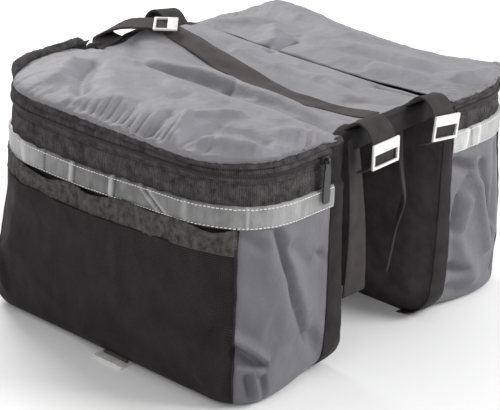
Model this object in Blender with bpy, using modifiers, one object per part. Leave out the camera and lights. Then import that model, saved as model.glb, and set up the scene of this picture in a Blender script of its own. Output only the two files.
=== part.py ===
"""Double bicycle pannier: two soft bags and the fabric bridge that joins them over a rear rack.

X runs along the bike, Y across it, Z up. The near bag is on the -Y side, and the floor is Z = 0.
Run it with Blender 4.5: blender --background --python part.py
"""

import math

import bmesh
import bpy
from mathutils import Matrix, Vector

# The bags
BAG_LENGTH = 0.360
BAG_DEPTH = 0.150
RACK_GAP = 0.158
PLAN_RADIUS = 0.079
BASE_RADIUS_BACK = 0.038
BASE_RADIUS_FRONT = 0.015
BASE_RADIUS_REACH = 0.6
CLOTH = 0.002
SEAM_GAP = 0.0003

# The bands, from the floor up
STRIP_HEIGHT = 0.187
STRIP_WIDTH = 0.0215
KNIT_WIDTH = 0.023
ZIP_WIDTH = 0.017
RIM_WIDTH = 0.009
BAND_RECESS = 0.0035
BAND_CLOTH = 0.0014
RECESS_STEP = 0.0009
COIL_WIDTH = 0.0042
COIL_DEPTH = 0.0018

# The back panel and its binding
PANEL_THICKNESS = 0.003
BINDING_WIDTH = 0.018
PANEL_TOP_DROP = 0.0035

# The mesh pocket
POCKET_BASE = 0.015
HEM_WIDTH = 0.029
HEM_DROP = 0.002
MESH_CLOTH = 0.001

# The lid and the bridge
LID_INSET = 0.0026
LID_EDGE_ROUND = 0.003
LID_DOME = 0.011
LID_SPINE_LENGTH = 0.35
LID_SPINE_DEPTH = 0.52
FOLD_EASE = 4.0
CREASE_DROP = 0.0015
BRIDGE_LENGTH = 0.340
BRIDGE_THICKNESS = 0.003
BRIDGE_RISE = 0.020

# The webbing and its ladder-lock buckles
WEBBING_WIDTH = 0.034
WEBBING_THICKNESS = 0.0022
STRAP_OFFSET = 0.048
LOOP_REACH = 0.032
LOOP_DROP = 0.036
LOOP_CREST = 0.011
TAIL_LENGTH = 0.170
BUCKLE_WIDTH = 0.040
BUCKLE_HEIGHT = 0.026
BUCKLE_THICKNESS = 0.003
BUCKLE_LIP = 0.011
BUCKLE_BAR = 0.003
BUCKLE_SIDE = 0.003
HANDLE_LENGTH = 0.312
TAB_REACH = 0.013
TAB_WIDTH = 0.94
BASE_BUCKLE_HEIGHT = 0.0184
BASE_BUCKLE_LIP = 0.0085
LYING_CLEARANCE = 0.0006
BUCKLE_PLACE = 0.44
FLOPPED_TURN = 42.0
TURN_EASE = 3.0

# The zip slider and its puller
SLIDER_SETBACK = 0.033
SLIDER_LENGTH = 0.010
SLIDER_HEIGHT = 0.008
SLIDER_THICKNESS = 0.0028
BAIL_INNER_RADIUS = 0.0017
BAIL_WIRE = 0.0012
BAIL_WIDTH = 0.0022
PULLER_LENGTH = 0.045
PULLER_WIDTH = 0.010
PULLER_THICKNESS = 0.0020
PULLER_BAR = 0.0018
PULLER_CLEARANCE = 0.0006

# How finely the outline is divided: side, corner and front stretches
SIDE_STEPS = 3
CORNER_STEPS = 6
FRONT_STEPS = 6
BASE_ARC_STEPS = 4
CREASE_STEPS = 20
BRIDGE_STEPS = 8
LYING_SAMPLES = 6
ROD_SIDES = 16

COLLECTION = "bicycle_pannier"

MATERIALS = {
    "grey_nylon": ((0.21, 0.205, 0.215), 0.62, 0.0),
    "black_fabric": ((0.022, 0.021, 0.022), 0.85, 0.0),
    "mesh": ((0.014, 0.013, 0.014), 0.80, 0.0),
    "knit": ((0.045, 0.042, 0.042), 0.90, 0.0),
    "reflective": ((0.55, 0.56, 0.55), 0.45, 0.1),
    "webbing": ((0.050, 0.043, 0.042), 0.80, 0.0),
    "zip_black": ((0.018, 0.018, 0.018), 0.50, 0.0),
    "buckle": ((0.62, 0.62, 0.61), 0.38, 0.2),
    "puller": ((0.30, 0.31, 0.31), 0.40, 0.1),
}

# A section of a bag at one height. The height is a share of STRIP_HEIGHT, the length and the shift
# along X are shares of BAG_LENGTH, the depth of BAG_DEPTH and the radius of PLAN_RADIUS.
# height, length, depth, radius, shift
NEAR_SECTIONS = (
    (0.00, 1.028, 0.915, 0.52, -0.020),
    (0.22, 1.036, 0.945, 0.62, -0.018),
    (0.43, 1.030, 0.962, 0.74, -0.012),
    (0.64, 1.016, 0.978, 0.88, -0.006),
    (0.83, 1.005, 0.992, 0.96, -0.002),
    (1.00, 1.000, 1.000, 1.00, 0.000),
)
FAR_SECTIONS = (
    (0.00, 1.000, 0.915, 0.52, -0.004),
    (0.22, 1.018, 0.950, 0.62, -0.004),
    (0.43, 1.022, 0.970, 0.74, -0.003),
    (0.64, 1.014, 0.985, 0.88, -0.002),
    (0.83, 1.004, 0.995, 0.96, -0.001),
    (1.00, 1.000, 1.000, 1.00, 0.000),
)

# A dent or bulge of a bag's wall. The place along the outline runs from 0 at the +X seam to 1 at the
# -X seam, the heights are shares of STRIP_HEIGHT, and the depth is a share of BAG_DEPTH, positive outwards.
# along, height, half width, half height, depth
NEAR_DENTS = (
    (0.065, 0.45, 0.030, 0.35, -0.022),
    (0.150, 0.30, 0.040, 0.30, 0.012),
    (0.210, 0.75, 0.035, 0.20, -0.014),
    (0.420, 0.45, 0.100, 0.40, 0.016),
    (0.620, 0.30, 0.080, 0.30, 0.014),
    (0.780, 0.60, 0.060, 0.25, -0.012),
)
FAR_DENTS = (
    (0.060, 0.60, 0.030, 0.25, -0.024),
    (0.130, 0.35, 0.035, 0.30, 0.012),
    (0.200, 0.62, 0.035, 0.28, -0.018),
    (0.450, 0.45, 0.100, 0.40, 0.014),
    (0.860, 0.50, 0.050, 0.30, -0.014),
)

# A fold of a lid. Its middle is a share of half BAG_LENGTH and of BAG_DEPTH, its half length and half
# width are shares of BAG_DEPTH, its angle is from the X axis in degrees, and its height is a share of
# LID_DOME.
# along, across, half length, half width, angle, height
NEAR_FOLDS = (
    (-0.55, 0.45, 0.50, 0.16, 25.0, 0.35),
    (-0.30, 0.80, 0.28, 0.10, 60.0, -0.45),
    (0.10, 0.30, 0.60, 0.14, -12.0, -0.30),
    (0.35, 0.70, 0.55, 0.16, 10.0, 0.45),
    (0.70, 0.45, 0.35, 0.14, -35.0, -0.35),
)
FAR_FOLDS = (
    (-0.60, 0.35, 0.50, 0.15, -20.0, 0.30),
    (-0.10, 0.30, 0.45, 0.13, 15.0, -0.55),
    (0.30, 0.62, 0.70, 0.16, -5.0, 0.35),
    (0.75, 0.30, 0.30, 0.14, 40.0, 0.45),
)

# A ring of a lid's cloth: its share of the way in to the lid's spine, and of the dome's height.
# inward, height
LID_RINGS = (
    (0.07, 0.34),
    (0.18, 0.62),
    (0.34, 0.86),
    (0.54, 0.98),
    (0.76, 1.00),
)

# The bridge's height above the seam line. The place is a share of half BRIDGE_LENGTH, the heights are
# shares of BRIDGE_RISE.
# along, at the near seam, in the middle, at the far seam
BRIDGE_ROWS = (
    (-1.00, 0.05, 0.62, 0.00),
    (-0.82, 0.16, 0.84, 0.02),
    (-0.60, 0.10, 0.72, -0.04),
    (-0.30, -0.14, 0.20, -0.10),
    (-0.05, -0.14, -0.22, -0.12),
    (0.20, 0.04, -0.40, -0.10),
    (0.62, 0.12, -0.38, 0.00),
    (0.86, 0.14, -0.06, 0.12),
    (1.00, 0.14, 0.10, 0.20),
)

# The handle's webbing on the bridge: shares of half HANDLE_LENGTH, of STRAP_OFFSET and of WEBBING_WIDTH.
# along, across, width
HANDLE_ROWS = (
    (-1.00, 0.10, 0.62),
    (-0.80, 0.02, 0.82),
    (-0.45, -0.06, 1.00),
    (0.00, -0.20, 1.06),
    (0.45, -0.26, 1.00),
    (0.80, -0.26, 0.86),
    (1.00, -0.22, 0.74),
)

# A rack strap's loop, seen along Y: shares of LOOP_REACH out from the bridge's end, and of LOOP_CREST
# above or LOOP_DROP below the bridge.
# out, crest, drop
LOOP_ROWS = (
    (-0.55, 0.00, 0.00),
    (-0.05, 0.12, 0.00),
    (0.18, 0.78, 0.00),
    (0.50, 1.00, 0.00),
    (0.78, 0.55, 0.00),
    (0.95, 0.00, 0.08),
    (1.00, 0.00, 0.30),
    (1.00, 0.00, 0.55),
    (0.94, 0.00, 0.80),
    (0.72, 0.00, 0.98),
    (0.42, 0.00, 1.10),
)

# The strap loops that hang over the bridge's ends: name, side, end, and the tilt of the webbing in degrees
STRAPS = (
    ("right_near", -1, 1, 1.0),
    ("right_far", 1, 1, -8.0),
    ("left_far", 1, -1, -9.0),
)

# The near strap at the -X end, thrown back over the bridge: shares of LOOP_REACH out from the bridge's
# end, of STRAP_OFFSET from the middle, and of LOOP_CREST above the bridge.
# out, across, crest
FLOPPED_ROWS = (
    (-0.10, -1.10, 0.04),
    (0.35, -1.04, 0.25),
    (0.60, -0.90, 0.95),
    (0.50, -0.68, 1.30),
    (0.10, -0.46, 1.20),
    (-0.45, -0.24, 0.62),
    (-0.90, -0.08, 0.30),
    (-1.20, 0.02, 0.24),
)

# A hanging tail: shares of TAIL_LENGTH down, of STRAP_OFFSET out from the middle, and of LOOP_REACH out
# from the bridge's end, with the turn of its width from the Y axis in degrees.
# down, across, out, turn
NEAR_TAIL = (
    (0.00, 1.12, -0.06, 24.0),
    (0.14, 1.10, 0.00, 22.0),
    (0.32, 1.04, 0.05, 18.0),
    (0.56, 0.98, 0.10, 12.0),
    (0.80, 0.98, 0.14, 5.0),
    (1.00, 1.02, 0.16, 0.0),
)
FAR_TAIL = (
    (0.00, 0.62, -0.42, 22.0),
    (0.20, 0.72, -0.36, 30.0),
    (0.42, 0.84, -0.32, 37.0),
    (0.58, 0.96, -0.32, 39.0),
    (0.74, 0.78, -0.36, 36.0),
    (1.00, 0.60, -0.42, 35.0),
)

# A base tab, from the bag's bottom edge over its buckle's bar and down into the slot: shares of
# TAB_REACH and of the height over the buckle.
# out, drop
TAB_ROWS = (
    (-0.24, 0.00),
    (-0.06, 0.00),
    (0.06, 0.16),
    (0.10, 0.60),
)

# The puller's outline: how far down it is, as a share of PULLER_LENGTH, and its width as a share of
# PULLER_WIDTH.
# down, width
PULLER_ROWS = (
    (0.00, 0.60),
    (0.14, 0.60),
    (0.24, 0.84),
    (0.40, 0.86),
    (0.80, 1.00),
    (0.95, 0.92),
    (1.00, 0.66),
)

# One bag's own values: its side of the bridge, the end where its zip slider stands, how much of their
# full height its bands and its dome keep where the cloth sags, and its tables.
BAGS = {
    "near": {
        "side": -1, "slider_end": 1, "band_share": 1.00, "dome_share": 1.00,
        "sections": NEAR_SECTIONS, "dents": NEAR_DENTS, "folds": NEAR_FOLDS,
    },
    "far": {
        "side": 1, "slider_end": -1, "band_share": 0.76, "dome_share": 0.72,
        "sections": FAR_SECTIONS, "dents": FAR_DENTS, "folds": FAR_FOLDS,
    },
}

STRIP_TOP = STRIP_HEIGHT + STRIP_WIDTH
CREASE_HEIGHT = STRIP_TOP + KNIT_WIDTH + ZIP_WIDTH - CREASE_DROP
PANEL_TOP = CREASE_HEIGHT - PANEL_TOP_DROP
BRIDGE_END = BRIDGE_LENGTH / 2


def clear_scene():
    for obj in list(bpy.data.objects):
        bpy.data.objects.remove(obj, do_unlink=True)


def make_collection():
    collection = bpy.data.collections.new(COLLECTION)
    bpy.context.scene.collection.children.link(collection)
    return collection


def make_material(name):
    material = bpy.data.materials.get(name)
    if material is None:
        color, roughness, metallic = MATERIALS[name]
        material = bpy.data.materials.new(name)
        material.use_nodes = True
        shader = material.node_tree.nodes["Principled BSDF"]
        shader.inputs["Base Color"].default_value = (*color, 1.0)
        shader.inputs["Roughness"].default_value = roughness
        shader.inputs["Metallic"].default_value = metallic
        material.diffuse_color = (*color, 1.0)
    return material


def blend(a, b, share):
    return a + (b - a) * share


def smooth(share):
    share = min(max(share, 0.0), 1.0)
    return share * share * (3.0 - 2.0 * share)


def table_at(rows, place):
    """The columns of a table at a place in its first column, straight between rows."""
    if place <= rows[0][0]:
        return rows[0][1:]
    for low, high in zip(rows, rows[1:]):
        if place <= high[0]:
            share = (place - low[0]) / (high[0] - low[0])
            return tuple(blend(a, b, share) for a, b in zip(low[1:], high[1:]))
    return rows[-1][1:]


def eased_at(rows, place):
    """The columns of a table at a place in its first column, on a smooth curve through the rows."""
    last = len(rows) - 1
    place = min(max(place, rows[0][0]), rows[-1][0])
    k = max(i for i in range(last) if rows[i][0] <= place)
    before, low, high, after = rows[max(k - 1, 0)], rows[k], rows[k + 1], rows[min(k + 2, last)]
    t = (place - low[0]) / (high[0] - low[0])
    values = []
    for p, a, b, q in zip(before[1:], low[1:], high[1:], after[1:]):
        slope_a, slope_b = (b - p) / 2, (q - a) / 2
        values.append(
            (2 * t**3 - 3 * t**2 + 1) * a + (t**3 - 2 * t**2 + t) * slope_a
            + (3 * t**2 - 2 * t**3) * b + (t**3 - t**2) * slope_b
        )
    return tuple(values)


def add_object(name, mesh, material, collection):
    obj = bpy.data.objects.new(name, mesh)
    obj.data.materials.append(make_material(material))
    collection.objects.link(obj)
    return obj


def solidify(obj, thickness, offset, even=True):
    """Gives an open surface its cloth, towards its faces' front with offset 1 and behind them with offset -1."""
    modifier = obj.modifiers.new("cloth", "SOLIDIFY")
    modifier.thickness = thickness
    modifier.offset = offset
    modifier.use_even_offset = even
    modifier.use_quality_normals = True


def surface(name, points, faces, outward, material, collection):
    """An object from points and faces, turned so that they agree and the first one looks along outward."""
    shape = bmesh.new()
    verts = [shape.verts.new(p) for p in points]
    made = [shape.faces.new([verts[k] for k in face]) for face in faces]
    bmesh.ops.recalc_face_normals(shape, faces=made)
    shape.normal_update()
    if made[0].normal.dot(Vector(outward)) < 0:
        bmesh.ops.reverse_faces(shape, faces=made)
    mesh = bpy.data.meshes.new(name)
    shape.to_mesh(mesh)
    shape.free()
    return add_object(name, mesh, material, collection)


def grid_faces(rows, columns, closed=False):
    """Quads between the rows of a grid, and round from the last column to the first where it is closed."""
    faces = []
    for r in range(rows - 1):
        for c in range(columns if closed else columns - 1):
            d = (c + 1) % columns
            low, high = r * columns, (r + 1) * columns
            faces.append((low + c, low + d, high + d, high + c))
    return faces


class Bag:
    """The shape of one bag, from its own tables. A point is x along the bike, d out from the back, z up."""

    def __init__(self, name):
        own = BAGS[name]
        self.name = name
        self.side = own["side"]
        self.slider_end = own["slider_end"]
        self.sections = own["sections"]
        self.dents = own["dents"]
        self.folds = own["folds"]
        self.dome = LID_DOME * own["dome_share"]
        self.knit_top = STRIP_TOP + KNIT_WIDTH * own["band_share"]
        self.zip_top = self.knit_top + ZIP_WIDTH * own["band_share"]
        self.rim_top = self.zip_top + RIM_WIDTH * own["band_share"]
        self.heights = self.ring_heights()
        self.rings = [self.ring(z) for z in self.heights]

    def world(self, x, d, z):
        return Vector((x, self.side * (RACK_GAP / 2 + d), z))

    def ring_heights(self):
        arc = []
        for k in range(BASE_ARC_STEPS + 1):
            turn = math.pi / 2 * k / BASE_ARC_STEPS
            arc.append(BASE_RADIUS_BACK * (1 - math.cos(turn)))
        table = [row[0] * STRIP_HEIGHT for row in self.sections]
        above = [z for z in table if z > BASE_RADIUS_BACK + CLOTH]
        bands = [STRIP_TOP, STRIP_TOP + RECESS_STEP, self.knit_top, self.zip_top]
        return sorted(set(arc + above + bands))

    def section(self, z):
        """Half length, depth, plan radius and shift at a height."""
        length, depth, radius, shift = table_at(self.sections, z / STRIP_HEIGHT)
        return BAG_LENGTH * length / 2, BAG_DEPTH * depth, PLAN_RADIUS * radius, BAG_LENGTH * shift

    def outline(self, z, seam=BINDING_WIDTH):
        """Stations (x, d, normal x, normal d) from the +X seam round the front to the -X seam."""
        half, depth, radius, shift = self.section(z)
        quarter = []
        for k in range(SIDE_STEPS):
            quarter.append((half, blend(seam, depth - radius, k / SIDE_STEPS), 1.0, 0.0))
        for k in range(CORNER_STEPS):
            turn = math.pi / 2 * k / CORNER_STEPS
            normal = (math.cos(turn), math.sin(turn))
            centre = (half - radius, depth - radius)
            quarter.append((centre[0] + radius * normal[0], centre[1] + radius * normal[1], *normal))
        front = []
        for k in range(FRONT_STEPS + 1):
            front.append((blend(half - radius, radius - half, k / FRONT_STEPS), depth, 0.0, 1.0))
        mirrored = [(-x, d, -nx, nd) for x, d, nx, nd in reversed(quarter)]
        return [(x + shift, d, nx, nd) for x, d, nx, nd in quarter + front + mirrored]

    def recess(self, z):
        """How far the wall stands back where the knit and zip bands cover it."""
        return BAND_RECESS if z > STRIP_TOP + RECESS_STEP / 2 else 0.0

    def dent(self, along, z):
        """How far the wall stands out there, fading at the base and at the strip."""
        total = 0.0
        for place, height, half_width, half_height, depth in self.dents:
            a = (along - place) / half_width
            b = (z / STRIP_HEIGHT - height) / half_height
            total += depth * BAG_DEPTH * math.exp(-(a * a + b * b))
        near_base = smooth(z / (2 * BASE_RADIUS_BACK))
        near_strip = smooth((STRIP_HEIGHT - z) / (2 * BASE_RADIUS_BACK))
        return total * near_base * near_strip

    def base_radius(self, d, depth):
        return blend(BASE_RADIUS_BACK, BASE_RADIUS_FRONT, smooth(d / (depth * BASE_RADIUS_REACH)))

    def base_inset(self, z, radius):
        if z >= radius:
            return 0.0
        return radius - math.sqrt(radius**2 - (radius - z) ** 2)

    def ring(self, z):
        stations = self.outline(z)
        depth = self.section(z)[1]
        points = []
        for k, (x, d, nx, nd) in enumerate(stations):
            inset = self.base_inset(z, self.base_radius(d, depth)) + self.recess(z)
            out = self.dent(k / (len(stations) - 1), z) - inset
            points.append((x + nx * out, d + nd * out, nx, nd))
        return points

    def wall(self, k, z, out=0.0):
        """The wall's outer face at station k, straight between the rings, moved out along its normal."""
        r = min(sum(z > height for height in self.heights), len(self.heights) - 1)
        low, high = self.heights[r - 1], self.heights[r]
        below, above = self.rings[r - 1], self.rings[r]
        share = min((z - low) / (high - low), 1.0)
        x, d, nx, nd = (blend(a, b, share) for a, b in zip(below[k], above[k]))
        return self.world(x + nx * out, d + nd * out, z)

    def levels(self, low, high):
        """The two heights and the rings between them."""
        return [low] + [z for z in self.heights if low + SEAM_GAP < z < high - SEAM_GAP] + [high]


def make_body(bag, collection):
    """The bag's wall and base, open at the back and at the top."""
    columns = len(bag.rings[0])
    points = [bag.world(x, d, z) for z, ring in zip(bag.heights, bag.rings) for x, d, _, _ in ring]
    faces = grid_faces(len(bag.rings), columns)
    faces.append(tuple(range(columns)))
    body = surface(f"{bag.name}_body", points, faces, (1, 0, 0), "grey_nylon", collection)
    solidify(body, CLOTH, -1)


def make_band(bag, name, low, high, cloth, material, collection, stations=None, lift=0.0):
    """A band of cloth that lies on the wall over some of its stations, between two heights."""
    stations = stations or range(len(bag.rings[0]))
    levels = bag.levels(low, high)
    points = [bag.wall(k, z, SEAM_GAP + lift) for z in levels for k in stations]
    outward = bag.wall(stations[0], low, 1.0) - bag.wall(stations[0], low)
    band = surface(name, points, grid_faces(len(levels), len(stations)), outward, material, collection)
    solidify(band, cloth, 1)


def make_bands(bag, collection):
    """The reflective strip, and the knit band, zip tape and zip coil in the recess above it."""
    coil_middle = (bag.knit_top + bag.zip_top) / 2
    coil_lift = BAND_CLOTH + SEAM_GAP
    recess_base = STRIP_TOP + RECESS_STEP + SEAM_GAP
    coil_base, coil_top = coil_middle - COIL_WIDTH / 2, coil_middle + COIL_WIDTH / 2
    for part, low, high, cloth, material, lift in (
        ("reflective_strip", STRIP_HEIGHT, STRIP_TOP - SEAM_GAP, BAND_CLOTH, "reflective", 0.0),
        ("knit_band", recess_base, bag.knit_top - SEAM_GAP, BAND_CLOTH, "knit", 0.0),
        ("zip_tape", bag.knit_top + SEAM_GAP, bag.zip_top - SEAM_GAP, BAND_CLOTH, "zip_black", 0.0),
        ("zip_coil", coil_base, coil_top, COIL_DEPTH, "zip_black", coil_lift),
    ):
        make_band(bag, f"{bag.name}_{part}", low, high, cloth, material, collection, lift=lift)


def make_pocket(bag, collection):
    """The mesh pocket and its hem, between the middles of the two plan corners."""
    first = SIDE_STEPS + CORNER_STEPS // 2
    stations = range(first, len(bag.rings[0]) - first)
    hem_top = STRIP_HEIGHT - HEM_DROP
    hem_base = hem_top - HEM_WIDTH
    mesh_top = hem_base - SEAM_GAP
    name = f"{bag.name}_mesh_pocket"
    make_band(bag, name, POCKET_BASE, mesh_top, MESH_CLOTH, "mesh", collection, stations)
    name = f"{bag.name}_pocket_hem"
    make_band(bag, name, hem_base, hem_top, BAND_CLOTH, "webbing", collection, stations)


def back_path(bag, top):
    """The back's outline (x, z) from the +X top down, round the base corners and up to the -X top."""
    radius = BASE_RADIUS_BACK
    levels = [z for z in bag.heights if radius < z < top - CLOTH] + [top]
    right, left = [], []
    for z in reversed(levels):
        half, _, _, shift = bag.section(z)
        recess = bag.recess(z)
        right.append((half + shift - recess, z))
        left.append((shift - half + recess, z))
    half, _, _, shift = bag.section(0.0)
    for k in range(BASE_ARC_STEPS + 1):
        turn = math.pi / 2 * k / BASE_ARC_STEPS
        out = radius * math.cos(turn)
        z = radius - radius * math.sin(turn)
        right.append((half + shift - radius + out, z))
        left.append((shift - half + radius - out, z))
    return right + left[::-1]


def make_binding(bag, collection):
    """The black binding round the back's edge, between the grey side and the back panel."""
    top = min(bag.zip_top, PANEL_TOP)
    path = back_path(bag, top)
    near_edge, far_edge = PANEL_THICKNESS + SEAM_GAP, BINDING_WIDTH - SEAM_GAP
    points = [bag.world(x, d, z) for d in (near_edge, far_edge) for x, z in path]
    faces = grid_faces(2, len(path))
    binding = surface(f"{bag.name}_edge_binding", points, faces, (1, 0, 0), "black_fabric", collection)
    solidify(binding, CLOTH, -1)


def make_back_panel(bag, collection):
    """The flat panel that stands against the rack."""
    path = back_path(bag, PANEL_TOP)
    points = [bag.world(x, 0.0, z) for x, z in path]
    last = len(path) - 1
    faces = [(k, k + 1, last - k - 1, last - k) for k in range(len(path) // 2 - 1)]
    panel = surface(f"{bag.name}_back_panel", points, faces, (0, -bag.side, 0), "black_fabric", collection)
    solidify(panel, PANEL_THICKNESS, -1)


def crease_height(bag, x):
    """The height of the seam between a lid and the bridge."""
    rows = eased_at(BRIDGE_ROWS, x / BRIDGE_END)
    return CREASE_HEIGHT + BRIDGE_RISE * (rows[0] if bag.side < 0 else rows[2])


def lid_outline(bag):
    """Stations (x, d, normal x, normal d, whether it is at the back) all round the lid."""
    z = bag.zip_top
    front = [(x, d, nx, nd, False) for x, d, nx, nd in bag.outline(z)]
    half, _, _, shift = bag.section(z)
    back = []
    for k in range(FRONT_STEPS + 1):
        x = blend(-half, half, k / FRONT_STEPS) + shift
        nx = -1.0 if k == 0 else 1.0 if k == FRONT_STEPS else 0.0
        back.append((x, LID_INSET, nx, 0.0, True))
    return front + back


def lid_fold(bag, x, d):
    """How far the lid's folds lift its cloth there."""
    total = 0.0
    for along, across, half_length, half_width, angle, height in bag.folds:
        dx = x - along * BAG_LENGTH / 2
        dd = d - across * BAG_DEPTH
        turn = math.radians(angle)
        a = (dx * math.cos(turn) + dd * math.sin(turn)) / (half_length * BAG_DEPTH)
        b = (dd * math.cos(turn) - dx * math.sin(turn)) / (half_width * BAG_DEPTH)
        total += height * bag.dome * math.exp(-(a * a + b * b))
    return total


def lid_edges(bag):
    """Where the lid's skirt stands: x, d, normal x, normal d, the height of its top and of its base."""
    edges = []
    for x, d, nx, nd, at_back in lid_outline(bag):
        top = crease_height(bag, x) if at_back else bag.rim_top
        base = (PANEL_TOP if at_back else bag.zip_top) + SEAM_GAP
        edges.append((x - nx * LID_INSET, d - nd * LID_INSET, nx, nd, top, base))
    return edges


def make_lid(bag, collection):
    """The lid's skirt, its rounded edge and its domed top."""
    skirt_low, skirt_high, edge = [], [], []
    for x, d, nx, nd, top, base in lid_edges(bag):
        skirt_low.append((x, d, base))
        skirt_high.append((x, d, max(top - LID_EDGE_ROUND, (base + top) / 2)))
        edge.append((x - nx * LID_EDGE_ROUND, d - nd * LID_EDGE_ROUND, top))
    rings = [skirt_low, skirt_high, edge]
    for inward, height in LID_RINGS:
        ring = []
        for edge_x, edge_d, top in edge:
            x = blend(edge_x, edge_x * LID_SPINE_LENGTH, inward)
            d = blend(edge_d, BAG_DEPTH * LID_SPINE_DEPTH, inward)
            fold = lid_fold(bag, x, d) * smooth(inward * FOLD_EASE)
            ring.append((x, d, blend(top, bag.rim_top + bag.dome, height) + fold))
        rings.append(ring)
    columns = len(edge)
    points = [bag.world(*place) for ring in rings for place in ring]
    faces = grid_faces(len(rings), columns, closed=True)
    faces.append(tuple(range(len(points) - columns, len(points))))
    lid = surface(f"{bag.name}_lid", points, faces, (1, 0, 0), "grey_nylon", collection)
    solidify(lid, CLOTH, -1, even=False)


def make_lid_rim(bag, collection):
    """The black rim round the front of the lid's skirt."""
    front = lid_edges(bag)[: len(bag.rings[0])]
    points = []
    for z in (bag.zip_top + SEAM_GAP, bag.rim_top - LID_EDGE_ROUND):
        points += [bag.world(x + nx * SEAM_GAP, d + nd * SEAM_GAP, z) for x, d, nx, nd, _, _ in front]
    faces = grid_faces(2, len(front))
    rim = surface(f"{bag.name}_lid_rim", points, faces, (1, 0, 0), "black_fabric", collection)
    solidify(rim, BAND_CLOTH, 1)


def bridge_height(x, y):
    """The bridge's top at a place."""
    near, middle, far = eased_at(BRIDGE_ROWS, x / BRIDGE_END)
    across = y / (RACK_GAP / 2)
    edge = near if across < 0 else far
    return CREASE_HEIGHT + BRIDGE_RISE * blend(edge, middle, smooth(1 - abs(across)))


def make_bridge(collection):
    """The fabric between the two lids, which lies on the rack."""
    edge = RACK_GAP / 2 - SEAM_GAP
    points = []
    for i in range(CREASE_STEPS + 1):
        x = blend(-BRIDGE_END, BRIDGE_END, i / CREASE_STEPS)
        for j in range(BRIDGE_STEPS + 1):
            y = blend(-edge, edge, j / BRIDGE_STEPS)
            points.append((x, y, bridge_height(x, y)))
    faces = grid_faces(CREASE_STEPS + 1, BRIDGE_STEPS + 1)
    bridge = surface("bridge", points, faces, (0, 0, 1), "grey_nylon", collection)
    solidify(bridge, BRIDGE_THICKNESS, -1)


def make_webbing(name, rows, collection):
    """A strap through rows of (middle, half width as a vector)."""
    points = [side for middle, half in rows for side in (middle - half, middle + half)]
    along = rows[1][0] - rows[0][0]
    faces = grid_faces(len(rows), 2)
    strap = surface(name, points, faces, along.cross(rows[0][1]), "webbing", collection)
    solidify(strap, WEBBING_THICKNESS, 0)


def lying(x, y, half):
    """The middle and half width of a strap that lies across the bridge's top, clear of its highest place."""
    low, high = bridge_height(x, y - half), bridge_height(x, y + half)
    bulge = 0.0
    for k in range(1, LYING_SAMPLES):
        share = k / LYING_SAMPLES
        top = bridge_height(x, blend(y - half, y + half, share))
        bulge = max(bulge, top - blend(low, high, share))
    z = (low + high) / 2 + bulge + WEBBING_THICKNESS / 2 + LYING_CLEARANCE
    return Vector((x, y, z)), Vector((0, half, (high - low) / 2))


def make_handle(collection):
    """The long strap along the bridge's top."""
    rows = []
    for i in range(CREASE_STEPS + 1):
        share = blend(-1, 1, i / CREASE_STEPS)
        across, width = eased_at(HANDLE_ROWS, share)
        rows.append(lying(share * HANDLE_LENGTH / 2, across * STRAP_OFFSET, WEBBING_WIDTH * width / 2))
    make_webbing("handle_webbing", rows, collection)


def loop_row(end, side, tilt, out, crest, drop):
    """The middle and half width of a strap loop at one row of its table, at the +X or -X end."""
    x = end * (BRIDGE_END + out * LOOP_REACH)
    over = max(-BRIDGE_END, min(x, BRIDGE_END))
    middle, half = lying(over, side * STRAP_OFFSET, WEBBING_WIDTH / 2)
    angle = math.radians(tilt)
    free = Vector((0, math.cos(angle), math.sin(angle))) * WEBBING_WIDTH / 2
    half = half.lerp(free, smooth(out * TURN_EASE))
    return Vector((x, middle.y, middle.z + crest * LOOP_CREST - drop * LOOP_DROP)), half


def make_buckle(name, matrix, collection, height=BUCKLE_HEIGHT, lip=BUCKLE_LIP):
    """A ladder lock in its own X-Y plane: a lip along +Y, a slot and a bar along -Y."""
    frame = bmesh.new()
    half = BUCKLE_WIDTH / 2
    xs = (-half, BUCKLE_SIDE - half, half - BUCKLE_SIDE, half)
    ys = (-height / 2, BUCKLE_BAR - height / 2, height / 2 - lip, height / 2)
    grid = [[frame.verts.new((x, y, -BUCKLE_THICKNESS / 2)) for x in xs] for y in ys]
    slot = (1, 1)
    for r in range(len(ys) - 1):
        for c in range(len(xs) - 1):
            if (r, c) != slot:
                corners = (grid[r][c], grid[r][c + 1], grid[r + 1][c + 1], grid[r + 1][c])
                frame.faces.new(corners)
    extruded = bmesh.ops.extrude_face_region(frame, geom=frame.faces[:])
    moved = [v for v in extruded["geom"] if isinstance(v, bmesh.types.BMVert)]
    bmesh.ops.translate(frame, verts=moved, vec=(0, 0, BUCKLE_THICKNESS))
    bmesh.ops.recalc_face_normals(frame, faces=frame.faces)
    mesh = bpy.data.meshes.new(name)
    frame.to_mesh(mesh)
    frame.free()
    buckle = add_object(name, mesh, "buckle", collection)
    buckle.matrix_world = matrix


def upright(end):
    """Turns a buckle's plane to face along X, with its lip up and its width along Y."""
    return Matrix(((0, 0, end, 0), (end, 0, 0, 0), (0, 1, 0, 0), (0, 0, 0, 1)))


def make_rack_straps(collection):
    """The strap loops at the bridge's ends, each with its buckle."""
    for name, side, end, tilt in STRAPS:
        rows = [loop_row(end, side, tilt, *row) for row in LOOP_ROWS]
        make_webbing(f"rack_strap_{name}", rows, collection)
        face = loop_row(end, side, tilt, 1.0, 0.0, BUCKLE_PLACE)[0]
        face.x += end * ((WEBBING_THICKNESS + BUCKLE_THICKNESS) / 2 + SEAM_GAP)
        place = Matrix.Translation(face) @ Matrix.Rotation(math.radians(tilt), 4, "X")
        make_buckle(f"buckle_{name}", place @ upright(end), collection)
    make_flopped_strap(collection)


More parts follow.
